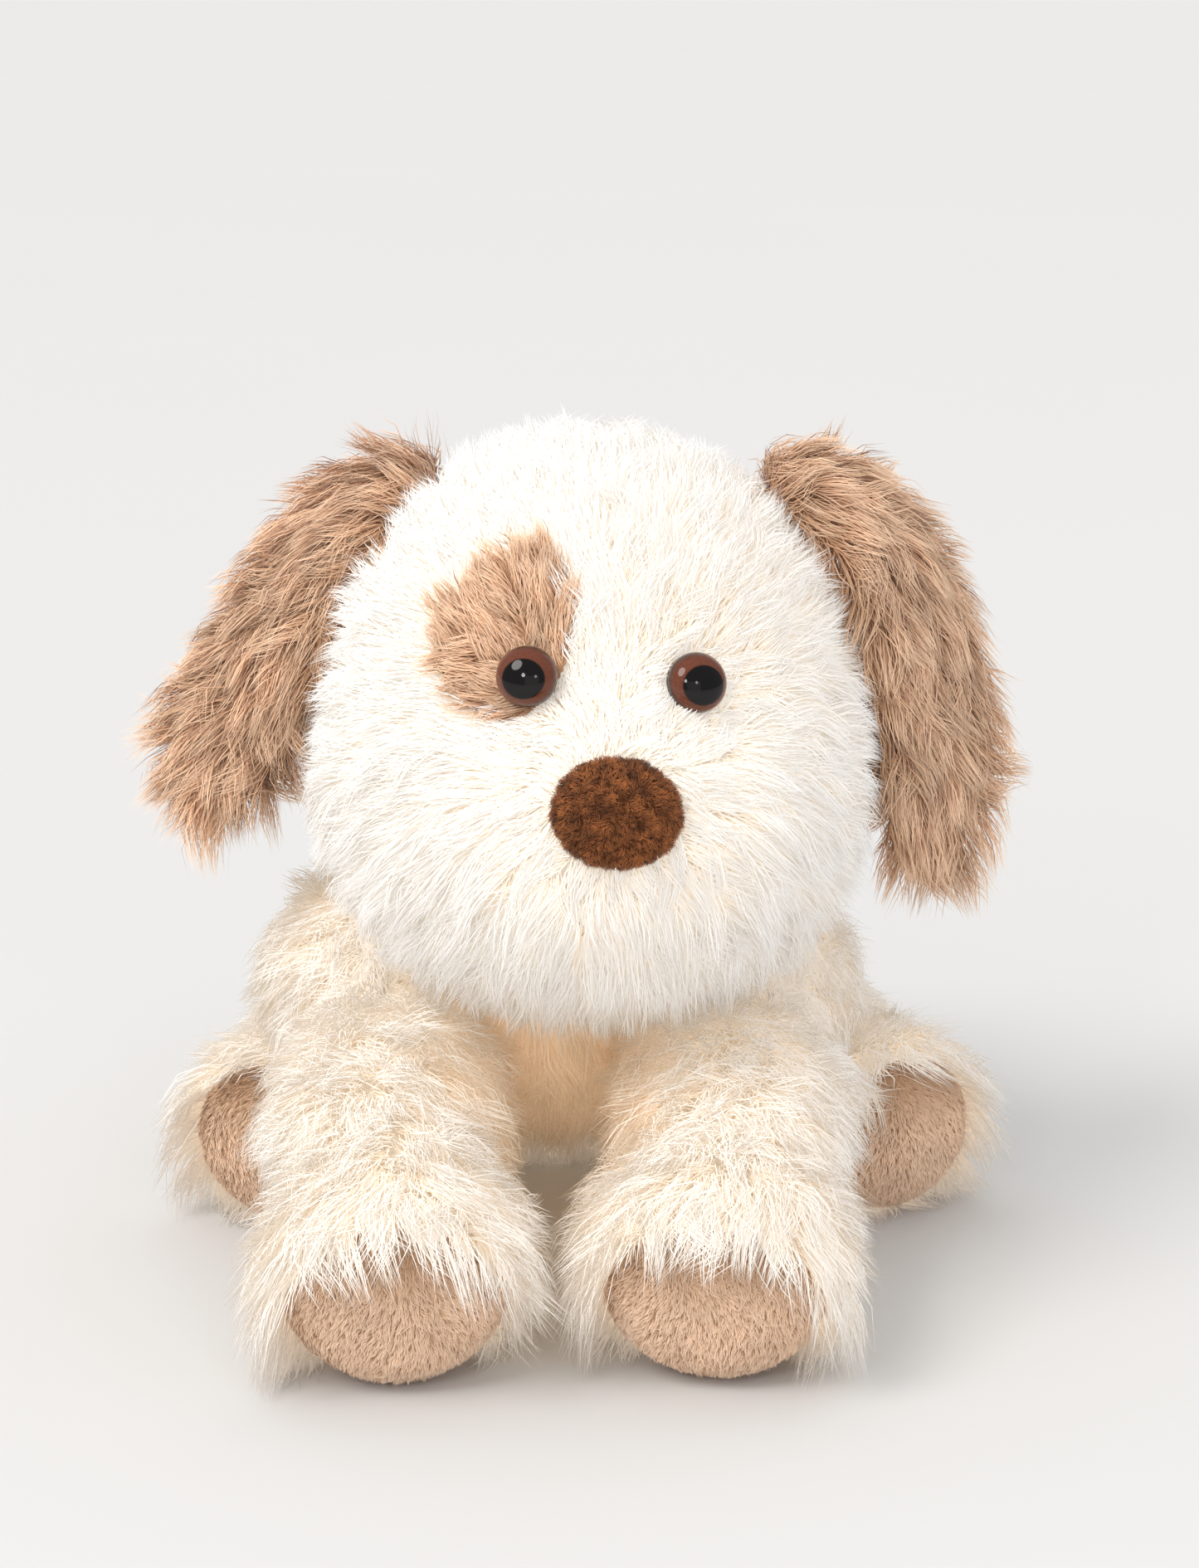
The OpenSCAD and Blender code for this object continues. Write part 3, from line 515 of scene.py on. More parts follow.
def fleece_group():
    """The dense backing under the pile: small tufts, as a height and a mask."""
    if "Fleece Backing" in bpy.data.node_groups:
        return bpy.data.node_groups["Fleece Backing"]
    group, ins, outs = new_group("Fleece Backing", [
        ("Scale", "NodeSocketFloat", 900.0)],
        [("Height", "NodeSocketFloat"), ("Mask", "NodeSocketFloat")])
    cells = group.nodes.new("ShaderNodeTexVoronoi")
    joined(group, place(group), cells.inputs["Vector"])
    joined(group, ins.outputs["Scale"], cells.inputs["Scale"])
    cloud = group.nodes.new("ShaderNodeTexNoise")
    joined(group, place(group), cloud.inputs["Vector"])
    joined(group, maths(group, "MULTIPLY", ins.outputs["Scale"], 0.3), cloud.inputs["Scale"])
    mask = maths(group, "MULTIPLY", maths(group, "SUBTRACT", 1.0, cells.outputs["Distance"],
                                          clamp=True), cloud.outputs["Fac"])
    joined(group, mask, outs.inputs["Height"])
    joined(group, mask, outs.inputs["Mask"])
    return group


def tuned(node, **values):
    """Sets a node's own sockets; an underscore stands for a space in a socket's name."""
    for label, value in values.items():
        node.inputs[label.replace("_", " ")].default_value = value


def placed_group(tree, group, **values):
    node = tree.nodes.new("ShaderNodeGroup")
    node.node_tree = group
    tuned(node, **values)
    return node


def new_material(name):
    material = bpy.data.materials.new(name)
    material.use_nodes = True
    shader = material.node_tree.nodes["Principled BSDF"]
    return material, material.node_tree, shader


def pile_material(name, root, mid, tip, shade, strand, patch, painted_glow, patch_scale):
    """Material of the strands; their emission is a painted glow for the light the roots pass on."""
    material, tree, shader = new_material(name)
    dye = placed_group(tree, pile_colour_group(), Root=root, Middle=mid, Tip=tip, Shade=shade,
                       Strand_Variation=strand, Patch_Variation=patch, Patch_Scale=patch_scale)
    joined(tree, dye.outputs["Colour"], shader.inputs["Base Color"])
    # painted light: the roots glow warm, in place of the light scattered deep in the pile
    joined(tree, dye.outputs["Painted Glow"], shader.inputs["Emission Color"])
    rough = maths(tree, "MULTIPLY_ADD", attribute(tree, "pile_shade"), PILE_GLOSS_SPREAD,
                  PILE_ROUGHNESS)
    joined(tree, rough, shader.inputs["Roughness"])
    tuned(shader, Emission_Strength=painted_glow, Sheen_Weight=PILE_SHEEN,
          Sheen_Roughness=PILE_SHEEN_ROUGHNESS, Specular_IOR_Level=PILE_SPECULAR)
    return material


def backing_material(name, dark, light):
    """Material of the fabric that the pile stands on."""
    material, tree, shader = new_material(name)
    fleece = placed_group(tree, fleece_group(), Scale=900.0)
    joined(tree, mixed(tree, fleece.outputs["Mask"], dark, light), shader.inputs["Base Color"])
    bump = tree.nodes.new("ShaderNodeBump")
    tuned(bump, Strength=0.6, Distance=TUFT_DEPTH)
    joined(tree, fleece.outputs["Height"], bump.inputs["Height"])
    joined(tree, bump.outputs["Normal"], shader.inputs["Normal"])
    tuned(shader, Roughness=0.95, Specular_IOR_Level=0.1)
    return material


def moulded(name, scale, dark, light, roughness):
    """Material of a moulded part: two close tones in fine specks."""
    material, tree, shader = new_material(name)
    speck = noise(tree, place(tree), scale)
    joined(tree, mixed(tree, speck, dark, light), shader.inputs["Base Color"])
    joined(tree, maths(tree, "MULTIPLY_ADD", speck, 0.2, roughness), shader.inputs["Roughness"])
    return material


cloth = {}


def make_fabric_materials():
    """Every fabric's pair of materials: backing, then pile."""
    dye = bpy.context.scene.plush_dye

    def four(colour, share=1.0):
        return (*[c * share for c in colour], 1.0)

    # the Shade column is painted warm shade for the cream and the soles, a lighter tint for the tan
    # patch
    # the number after the two variations is the strength of the painted root glow
    for name, root, mid, tip, shade, strand, patch, painted_glow, patch_scale in (
            ("cream", dye.cream_root, dye.cream_mid, dye.cream_tip, dye.cream_shade, 0.12, 0.06,
             0.33, 60),
            ("tan", dye.tan_root, dye.tan_mid, dye.tan_tip, dye.tan_light, 0.60, 0.40, 0.04, 70),
            ("sole", dye.sole_root, dye.sole_mid, dye.sole_tip, dye.sole_root, 0.22, 0.30, 0.10,
             90),
            ("brown", dye.nose_root, dye.nose_mid, dye.nose_tip, dye.nose_root, 0.8, 2.4, 0.02,
             240)):
        cloth[name] = [
            backing_material(f"{name}_backing", four(root, 0.85), four(mid, 0.95)),
            pile_material(f"{name}_pile", four(root), four(mid), four(tip), four(shade), strand,
                          patch, painted_glow, patch_scale)]


# ---------------------------------------------------------------- how the pile lies

NOSE = middle("nose_cover")
HEAD_LOW, HEAD_HIGH = extent("head_stuffing")
HEAD_MID = (HEAD_LOW + HEAD_HIGH) / 2
EYES = [middle("eye_lens_left"), middle("eye_lens_right")]


def head_style(roots, normals):
    away = unit(roots - NOSE)
    crown = rise(roots[:, 2], HEAD_MID[2], HEAD_HIGH[2])[:, None]
    flow = away + UP * (0.35 * crown - 0.40 * (1 - crown))
    eye = np.min([np.linalg.norm(roots - e, axis=1) for e in EYES], axis=0)
    snout = np.linalg.norm((roots - NOSE) * [1, 0.6, 1.1], axis=1)
    below = rise(EYES[0][2] - roots[:, 2], 2 * MM, 8 * MM)
    length = (0.30 + 0.16 * below + (0.70 - 0.16 * below) * rise(eye, 8 * MM, 22 * MM)) * (
        0.42 + 0.58 * rise(snout, 13 * MM, 34 * MM))
    lean = 0.92 - 0.22 * rise(snout, 15 * MM, 60 * MM)
    return {"flow": flow, "length": length, "lean": lean,
            "droop": 0.10 + 0.12 * (1 - crown[:, 0])}


def torso_style(roots, normals):
    one = np.ones(len(roots))
    flow = np.stack([roots[:, 0] * 6, 0.5 * one, -one], 1)
    low = extent("torso_belly")[0]
    # a little of the Shade colour everywhere; painted warm shade on the middle
    # of the chest's front, between the forelegs and under the chin
    front = 1 - rise(roots[:, 1], low[1] + 15 * MM, low[1] + 60 * MM)
    centre = 1 - rise(np.abs(roots[:, 0]), 30 * MM, 52 * MM)
    return {"flow": flow, "length": one, "lean": 0.72 * one, "droop": 0.20 * one,
            "mess": 1.7 * one, "tint_and_painted_shade": 0.2 + 0.75 * front * centre}


def plain_style(way, lean=0.85, droop=0.2, length=1.0):
    """Pile that lies along one direction."""
    def style(roots, normals):
        one = np.ones(len(roots))
        return {"flow": np.tile(way, (len(roots), 1)), "length": length * one,
                "lean": lean * one, "droop": droop * one}
    return style


def body_leans(kind, side):
    """The dog's right forepaw is rolled a little outwards."""
    return kind == "foreleg" and side == "right"


def leg_style(kind, side):
    sole = middle(f"{kind}_sole_{side}")
    core = middle(f"{kind}_stuffing_{side}")
    way = unit(sole - core)
    slant = unit(np.array([-0.42 if body_leans(kind, side) else 0.0, 0, 1.0]))

    def style(roots, normals):
        flow = np.tile(way - UP * 0.55, (len(roots), 1))
        apart = roots - sole
        ahead = apart @ way
        spoke = apart - ahead[:, None] * way
        rim = rise(ahead, -15 * MM, -4 * MM)
        over = rim * rise(spoke @ slant, -17 * MM, 3 * MM)
        low = 1 - rise(roots[:, 2], 3 * MM, 12 * MM)
        flow = flow * (1 - over[:, None]) + over[:, None] * (
            way * 0.9 - unit(spoke) * 1.1 - UP * 0.35)
        flow = flow + UP * 0.35 * (low * (1 - over))[:, None]
        length = (1.0 + 0.28 * over) * (1 - 0.22 * low)
        # a little of the Shade colour everywhere; painted warm shade on the inner
        # side that faces the other leg, away from the paw
        inward = rise(-normals[:, 0] * SIDES[side], 0.1, 0.9) * (1 - rise(
            -roots[:, 1], -core[1] + 10 * MM, -sole[1] - 10 * MM))
        return {"flow": flow, "length": length, "lean": 0.76 - 0.04 * over,
                "droop": 0.14 + 0.18 * over, "mess": 1.8 - 0.6 * over,
                "tint_and_painted_shade": 0.55 * inward + 0.15}
    return style


def sole_style(kind, side):
    centre = middle(f"{kind}_sole_{side}")

    def style(roots, normals):
        out = (roots - centre) * [1, 0.2, 1]
        swirl = np.sin(roots[:, 0] * 210 + 1.3) + np.sin(roots[:, 2] * 170 + roots[:, 0] * 90)
        flow = out * 14 - UP * 0.9 + np.stack([swirl * 0.35, 0 * swirl, 0 * swirl], 1)
        one = np.ones(len(roots))
        # painted shade: the sole turns to its darker root colour towards its top
        return {"flow": flow, "length": one, "lean": 0.75 + 0.12 * swirl, "droop": 0.05 * one,
                "tint_and_painted_shade": rise(roots[:, 2], centre[2], centre[2] + 20 * MM)}
    return style


def ear_style(side):
    low, high = extent(f"ear_back_{side}")
    s = SIDES[side]
    start = np.array([s * 1.0, 0, -0.15])
    end = np.array([0.05, 0, -1.0]) if s > 0 else np.array([-0.50, 0, -0.86])

    skin = hides[f"ear_{side}"].points
    levels = np.linspace(low[2] + 2 * MM, high[2] - 2 * MM, 14)
    spine = np.array([skin[np.abs(skin[:, 2] - z) < 5 * MM].mean(0) for z in levels])

    def style(roots, normals):
        high_up = rise(roots[:, 2], high[2] - 38 * MM, high[2] - 2 * MM)[:, None]
        centre = np.stack([np.interp(roots[:, 2], levels, spine[:, k]) for k in range(3)], 1)
        outward = roots - centre
        edge = rise(np.linalg.norm(outward, axis=1), 4 * MM, 15 * MM)
        hanging = 1 - rise(roots[:, 2], low[2] + 15 * MM, low[2] + 60 * MM)[:, None]
        flow = start * high_up + end * (1 - high_up)
        flow = flow + unit(outward) * edge[:, None] * (0.15 + 0.65 * hanging)
        return {"flow": flow, "length": 0.92 + 0.16 * hanging[:, 0],
                "lean": 0.86 - 0.24 * edge * hanging[:, 0], "droop": 0.18 - 0.06 * edge,
                "mess": np.full(len(roots), 1.3)}
    return style


def clear_of(others, room=0.5 * MM):
    """A test for roots that aren't buried in a neighbouring body or flat on the floor."""
    def keep(roots, normals):
        held = ~((roots[:, 2] < 1.5 * MM) & (normals[:, 2] < -0.5))
        for other in others:
            low = hides[other].points.min(0) - 3 * MM
            high = hides[other].points.max(0) + 3 * MM
            near = np.all((roots > low) & (roots < high), axis=1) & held
            if near.any():
                deep = hides[other].depth(roots[near] + normals[near] * 1.5 * MM)
                held[np.flatnonzero(near)[deep > room]] = False
        return held
    return keep


# short piles stand closer: strands on each square millimetre, strand width, lock area, gathering
SHORT_PILES = {"sole": (7.0, 0.26 * MM, 0.9, 0.5), "nose": (14.0, 0.17 * MM, 0.7, 0.45)}
SHORT_UNDER = 0.2


def short_pile(kind):
    density, width, lock_area, gather = SHORT_PILES[kind]
    return {"density": density, "width": width, "lock_area": lock_area, "gather": gather,
            "under": SHORT_UNDER}


def furred(names, hide, cloth_name, style, length, keep, seed, stuffing, density=None,
           width=None, lock_area=None, gather=None, slot="cream_plush", fill=0.7, under=0.35):
    """Makes the named panels of a hide, each a piece of its own."""
    pile = bpy.context.scene.plush_pile
    for k, panel in enumerate(names):
        coat = grow(hide, panel, style, length, density or pile.density,
                    width or pile.strand_width, lock_area or pile.lock_area,
                    pile.gather if gather is None else gather, seed + k, keep=keep, under=under)
        sewn_piece(f"plush_{panel}", hide.body, panel_skin(hide, panel), coat,
                   cloth[cloth_name], [panel, *(stuffing if k == 0 else [])])


# ---------------------------------------------------------------- settings


def length_prop(name, text, default, low, high):
    return FloatProperty(name=name, description=text, default=default, min=low, max=high,
                         unit="LENGTH", precision=5)


def colour_prop(name, text, default):
    return FloatVectorProperty(name=name, description=text, default=default, size=3, min=0,
                               max=1, subtype="COLOR")


class PileSettings(bpy.types.PropertyGroup):
    cream_length: length_prop("Cream pile", "Length of the long cream pile", 0.0145, 0.004, 0.02)
    ear_length: length_prop("Ear pile", "Length of the tan pile on the ears", 0.0155, 0.004, 0.02)
    patch_length: length_prop("Patch pile", "Length of the tan pile round the eye", 0.010, 0.003,
                              0.02)
    sole_length: length_prop("Sole pile", "Length of the short pile on the soles", 0.0022, 0.001,
                             0.004)
    nose_length: length_prop("Nose pile", "Length of the short pile on the nose", 0.0017, 0.001,
                             0.004)
    strand_width: length_prop("Strand width", "Width of a long strand at its root", 0.00034,
                              0.0001, 0.001)
    density: FloatProperty(name="Density", description="Long strands on each square millimetre",
                           default=2.1, min=0.2, max=6)
    lock_area: FloatProperty(name="Lock area",
                             description="Square millimetres of fabric that one lock gathers",
                             default=13.0, min=2, max=60)
    gather: FloatProperty(name="Gathering", description="How closely a lock's tips meet",
                          default=0.8, min=0, max=1, subtype="FACTOR")
    seed: IntProperty(name="Seed", description="Changes the random lie of the pile", default=7)


class ColourSettings(bpy.types.PropertyGroup):
    cream_root: colour_prop("Cream root", "Cream pile at its root", (0.88, 0.79, 0.665))
    cream_mid: colour_prop("Cream middle", "Cream pile half way up", (0.905, 0.87, 0.82))
    cream_tip: colour_prop("Cream tip", "Cream pile at its tip", (0.875, 0.86, 0.84))
    # painted shade: the warm colour the cream pile is given where it lies in shade
    cream_shade: colour_prop("Cream shade", "Cream pile in its painted warm shade",
                             (0.90, 0.71, 0.50))
    tan_root: colour_prop("Tan root", "Tan pile at its root", (0.38, 0.195, 0.105))
    tan_mid: colour_prop("Tan middle", "Tan pile half way up", (0.63, 0.38, 0.23))
    tan_tip: colour_prop("Tan tip", "Tan pile at its tip", (0.92, 0.67, 0.475))
    tan_light: colour_prop("Tan light", "Tan pile of the lighter patch", (0.86, 0.60, 0.42))
    sole_root: colour_prop("Sole root", "Sole pile at its root", (0.56, 0.35, 0.21))
    sole_mid: colour_prop("Sole middle", "Sole pile half way up", (0.80, 0.555, 0.385))
    sole_tip: colour_prop("Sole tip", "Sole pile at its tip", (0.95, 0.725, 0.54))
    nose_root: colour_prop("Nose root", "Nose pile at its root", (0.07, 0.024, 0.009))
    nose_mid: colour_prop("Nose middle", "Nose pile half way up", (0.215, 0.070, 0.021))
    nose_tip: colour_prop("Nose tip", "Nose pile at its tip", (0.34, 0.115, 0.034))
    iris: colour_prop("Iris", "Brown of the iris", (0.115, 0.036, 0.020))
    floor: colour_prop("Floor", "Studio floor", (0.652, 0.646, 0.636))


class StageSettings(bpy.types.PropertyGroup):
    aim: FloatVectorProperty(name="Aim", description="Camera aim from the middle of the dog",
                             default=(0.0051, 0.0082, 0.0086), size=3, unit="LENGTH",
                             subtype="TRANSLATION")
    distance: length_prop("Distance", "Camera distance from its aim", 0.95, 0.3, 4)
    elevation: FloatProperty(name="Elevation", description="Camera height above the horizon",
                             default=math.radians(15), unit="ROTATION")
    lens: FloatProperty(name="Lens", description="Focal length in millimetres", default=85,
                        min=20, max=200)


# ---------------------------------------------------------------- operators


class PLUSH_OT_torso(bpy.types.Operator):
    """Make the torso's three furred panels and the furred neck"""

    bl_idname = "plush.torso"
    bl_label = "Torso and Neck"
    bl_options = {"REGISTER", "UNDO"}

    def execute(self, context):
        pile = context.scene.plush_pile
        others = ["head", "foreleg_left", "foreleg_right", "hindleg_left", "hindleg_right"]
        furred(TORSO, hides["torso"], "cream", torso_style, pile.cream_length,
               clear_of(others), 100, ["torso_stuffing"])
        furred(["neck_stuffing"], hides["neck"], "cream", plain_style(np.array([0, -0.2, -1.0])),
               pile.cream_length * 0.7, clear_of(["head", "torso"]), 110, [])
        return {"FINISHED"}


def patch_oval(points):
    """Where each point lies from the middle (0) to the outline (1) of the tan pile's oval."""
    apart = (points - EYES[1]) / MM - np.array([-4.8, 0, 8.8])
    tall = apart @ np.array([math.sin(0.30), 0, math.cos(0.30)])
    wide = apart @ np.array([math.cos(0.30), 0, -math.sin(0.30)])
    return np.sqrt((wide / 14.2)**2 + (tall / 18.2)**2)


class PLUSH_OT_head(bpy.types.Operator):
    """Make the head's four furred panels"""

    bl_idname = "plush.head"
    bl_label = "Head"
    bl_options = {"REGISTER", "UNDO"}

    def execute(self, context):
        pile = context.scene.plush_pile
        patch, patch_faces, _ = node_arrays(["eye_patch"])
        tree = BVHTree.FromPolygons(patch.tolist(), patch_faces.tolist())
        clear = clear_of(["neck"])
        low, high = extent("nose_cover")
        half = (high - low) / 2

        def keep(roots, normals):
            held = clear(roots, normals)
            close = np.array([tree.find_nearest(p, 3.2 * MM)[0] is not None
                              for p in roots.tolist()])
            oval = ((roots[:, 0] - NOSE[0]) / half[0])**2 + ((roots[:, 2] - NOSE[2]) / half[2])**2
            under_nose = (oval < 0.92) & (roots[:, 1] < NOSE[1] + 14 * MM)
            eye = np.min([np.linalg.norm(roots - e, axis=1) for e in EYES], axis=0)
            close &= patch_oval(roots) < 1.0
            return held & ~close & ~under_nose & (eye > 6.0 * MM)

        furred(HEAD, hides["head"], "cream", head_style, pile.cream_length, keep, 200,
               ["head_stuffing"])
        return {"FINISHED"}


class PLUSH_OT_patch(bpy.types.Operator):
    """Make the tan patch round one eye"""

    bl_idname = "plush.patch"
    bl_label = "Eye Patch"
    bl_options = {"REGISTER", "UNDO"}

    def execute(self, context):
        pile = context.scene.plush_pile
        hide = Hide("head", ["eye_patch"], (), 0.7 * MM, 2)
        hide.owner[patch_oval(hide.points[hide.faces].mean(1)) > 1.08] = -1
        eye = EYES[1]

        def style(roots, normals):
            out = unit(roots - eye)
            out[:, 0] = np.minimum(out[:, 0], 0.12)
            far = np.linalg.norm(roots - eye, axis=1)
            length = 0.45 + 0.55 * rise(far, 8 * MM, 18 * MM)
            flow = out + UP * 0.35 + np.array([-0.22, 0, 0])
            one = np.ones(len(roots))
            return {"flow": flow, "length": length, "lean": 0.85 * one, "droop": 0.05 * one,
                    "tint_and_painted_shade": 0.08 * one}

        def keep(roots, normals):
            out = ((roots - HEAD_MID) * normals).sum(1) > 0.012
            return out & (np.linalg.norm(roots - eye, axis=1) > 6.6 * MM) & (
                patch_oval(roots) < 1.04)

        furred(["eye_patch"], hide, "tan", style, pile.patch_length, keep, 300, [],
               slot="tan_long_plush", density=pile.density * 1.3, fill=None)
        return {"FINISHED"}


class PLUSH_OT_ears(bpy.types.Operator):
    """Make the front and back panels of both long-furred ears"""

    bl_idname = "plush.ears"
    bl_label = "Ears"
    bl_options = {"REGISTER", "UNDO"}

    def execute(self, context):
        pile = context.scene.plush_pile
        for side in SIDES:
            furred(ear_panels(side), hides[f"ear_{side}"], "tan", ear_style(side),
                   pile.ear_length, clear_of(["head"], 2 * MM), 400 + 10 * SIDES[side], [],
                   lock_area=20.0, gather=0.88, slot="tan_long_plush", fill=None)
        return {"FINISHED"}


class PLUSH_OT_legs(bpy.types.Operator):
    """Make the four legs: furred outer and inner panels and a short-pile sole each"""

    bl_idname = "plush.legs"
    bl_label = "Legs"
    bl_options = {"REGISTER", "UNDO"}

    def execute(self, context):
        pile = context.scene.plush_pile
        for side in SIDES:
            for k, kind in enumerate(("foreleg", "hindleg")):
                body = f"{kind}_{side}"
                hide = hides[body]
                near = ["torso", f"{('hindleg', 'foreleg')[k]}_{side}"]
                seed = 500 + 40 * k + 10 * SIDES[side]
                furred(leg_panels(kind, side)[:2], hide, "cream", leg_style(kind, side),
                       pile.cream_length, clear_of(near), seed,
                       [f"{kind}_stuffing_{side}"])
                furred(leg_panels(kind, side)[2:], hide, "sole", sole_style(kind, side),
                       pile.sole_length, clear_of([]), seed + 5, [], slot="tan_short_plush",
                       **short_pile("sole"))
        return {"FINISHED"}


class PLUSH_OT_tail(bpy.types.Operator):
    """Make the two furred panels of the tail"""

    bl_idname = "plush.tail"
    bl_label = "Tail"
    bl_options = {"REGISTER", "UNDO"}

    def execute(self, context):
        way = np.array([0, 0.8, 0.45])
        furred(TAIL, hides["tail"], "cream", plain_style(way, 0.75, 0.1),
               context.scene.plush_pile.cream_length, clear_of(["torso"]), 600,
               ["tail_stuffing"])
        return {"FINISHED"}


class PLUSH_OT_nose(bpy.types.Operator):
    """Make the padded nose with its short brown pile"""

    bl_idname = "plush.nose"
    bl_label = "Nose"
    bl_options = {"REGISTER", "UNDO"}

    def execute(self, context):
        hide = Hide("head", ["nose_cover"], ["nose_stuffing"], 0.8 * MM, 3)

        def style(roots, normals):
            out = roots - NOSE + np.array([0, 0.004, 0.003])
            swirl = np.sin(roots[:, 0] * 900 + 2 * np.sin(roots[:, 2] * 700))
            flow = out * 70 - UP * 0.6 + np.stack([swirl * 0.7, 0 * swirl, 0 * swirl], 1)
            one = np.ones(len(roots))
            return {"flow": flow, "length": one + 0.1 * swirl, "lean": 0.62 * one,
                    "droop": 0.1 * one, "mess": 2.0 * one}

        def keep(roots, normals):
            return normals[:, 1] < 0.55

        furred(["nose_cover"], hide, "brown", style, context.scene.plush_pile.nose_length, keep,
               700, ["nose_stuffing"], slot="brown_plush", fill=0.8, **short_pile("nose"))
        return {"FINISHED"}


def revolved(name, profile, centre, axis, turns=64):
    """A mesh turned from (radius, height) points about an axis; the ends close on the axis."""
    side = unit(np.cross(axis, UP))
    other = np.cross(axis, side)
    rings, faces = [], []
    for radius, height in profile:
        angle = np.arange(turns) / turns * 2 * math.pi
        rings.append(centre + axis * height + radius * (
            np.cos(angle)[:, None] * side + np.sin(angle)[:, None] * other))
    for i in range(len(profile) - 1):
        for j in range(turns):
            a, b = i * turns + j, i * turns + (j + 1) % turns
            faces.append((a, b, b + turns, a + turns))
    mesh = bpy.data.meshes.new(name)
    mesh.from_pydata(np.concatenate(rings).tolist(), [], faces)
    mesh.polygons.foreach_set("use_smooth", np.ones(len(faces), bool))
    mesh.update()
    return mesh


# how far the dome's back goes into its stem's flange, and how far the pupil sits low of its middle
EYE_SINK, PUPIL_DROP = 0.2 * MM, 0.27


class PLUSH_OT_eyes(bpy.types.Operator):
    """Make both glossy moulded eyes, and finish their stems and washers"""

    bl_idname = "plush.eyes"
    bl_label = "Eyes"
    bl_options = {"REGISTER", "UNDO"}

    def execute(self, context):
        dye = context.scene.plush_dye
        lens_material, tree, shader = new_material("eye_lens_moulding")
        radial = attribute(tree, "eye_radius")
        pupil = maths(tree, "MULTIPLY_ADD", radial, 20.0, -13.6, clamp=True)
        rim = maths(tree, "MULTIPLY_ADD", radial, 14.0, -13.2, clamp=True)
        fleck = noise(tree, place(tree), 1500, 3)
        iris = mixed(tree, fleck, tuple(c * 0.75 for c in dye.iris) + (1,),
                     tuple(min(1, c * 1.5) for c in dye.iris) + (1,))
        colour = mixed(tree, pupil, (0.004, 0.003, 0.003, 1), iris)
        colour = mixed(tree, rim, colour, (0.012, 0.006, 0.005, 1))
        joined(tree, colour, shader.inputs["Base Color"])
        tuned(shader, Roughness=0.12, Specular_IOR_Level=0.05, Coat_Weight=0.8,
              Coat_Roughness=0.03, Coat_IOR=1.4)
        plastic = moulded("eye_back_plastic", 2400, (0.020, 0.009, 0.006, 1),
                          (0.032, 0.014, 0.009, 1), 0.25)
        washer = moulded("washer_nylon", 1800, (0.70, 0.70, 0.68, 1), (0.80, 0.80, 0.78, 1), 0.4)
        for side in SIDES:
            points, _, _ = node_arrays([f"eye_lens_{side}"])
            centre = points.mean(0)
            values, axes = np.linalg.eigh(np.cov((points - centre).T))
            odd = np.argmax(np.abs(values - np.median(values)))
            axis = axes[:, odd] if axes[1, odd] < 0 else -axes[:, odd]
            heights = (points - centre) @ axis
            base = centre + axis * heights.min()
            radius = np.linalg.norm(np.cross(points - centre, axis), axis=1).max()
            tall = heights.max() - heights.min()
            steps = np.linspace(0, 1, 20)
            tip = radius * 0.001
            profile = [(tip, -EYE_SINK), (radius * 0.97, -EYE_SINK)]
            profile += [(max(radius * math.cos(a), tip), tall * math.sin(a))
                        for a in steps * math.pi / 2]
            mesh = revolved(f"eye_lens_{side}", profile, base, axis)
            down = -across(UP[None, :], axis[None, :])[0]
            flat = taken(mesh.vertices, "co") - base
            flat = flat - (flat @ axis)[:, None] * axis
            rim_share = np.linalg.norm(flat, axis=1) / radius
            shifted = np.linalg.norm(flat - down * radius * PUPIL_DROP * (1 - rim_share[:, None]**4),
                                     axis=1) / radius
            kept = mesh.attributes.new("eye_radius", "FLOAT", "POINT")
            kept.data.foreach_set("value", np.maximum(shifted, rim_share**6))
            mesh.materials.append(lens_material)
            obj = bpy.data.objects.new(f"moulded_eye_{side}", mesh)
            context.scene.collection.objects.link(obj)
            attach(obj, "head")
            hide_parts(f"eye_lens_{side}")
            finish_node(f"eye_stem_{side}", plastic)
        finish_node("eye_washers", washer)
        return {"FINISHED"}


def finish_node(node, material):
    """Gives a carried-over frame node its finish."""
    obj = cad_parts[node]
    obj.data.materials.clear()
    obj.data.materials.append(material)


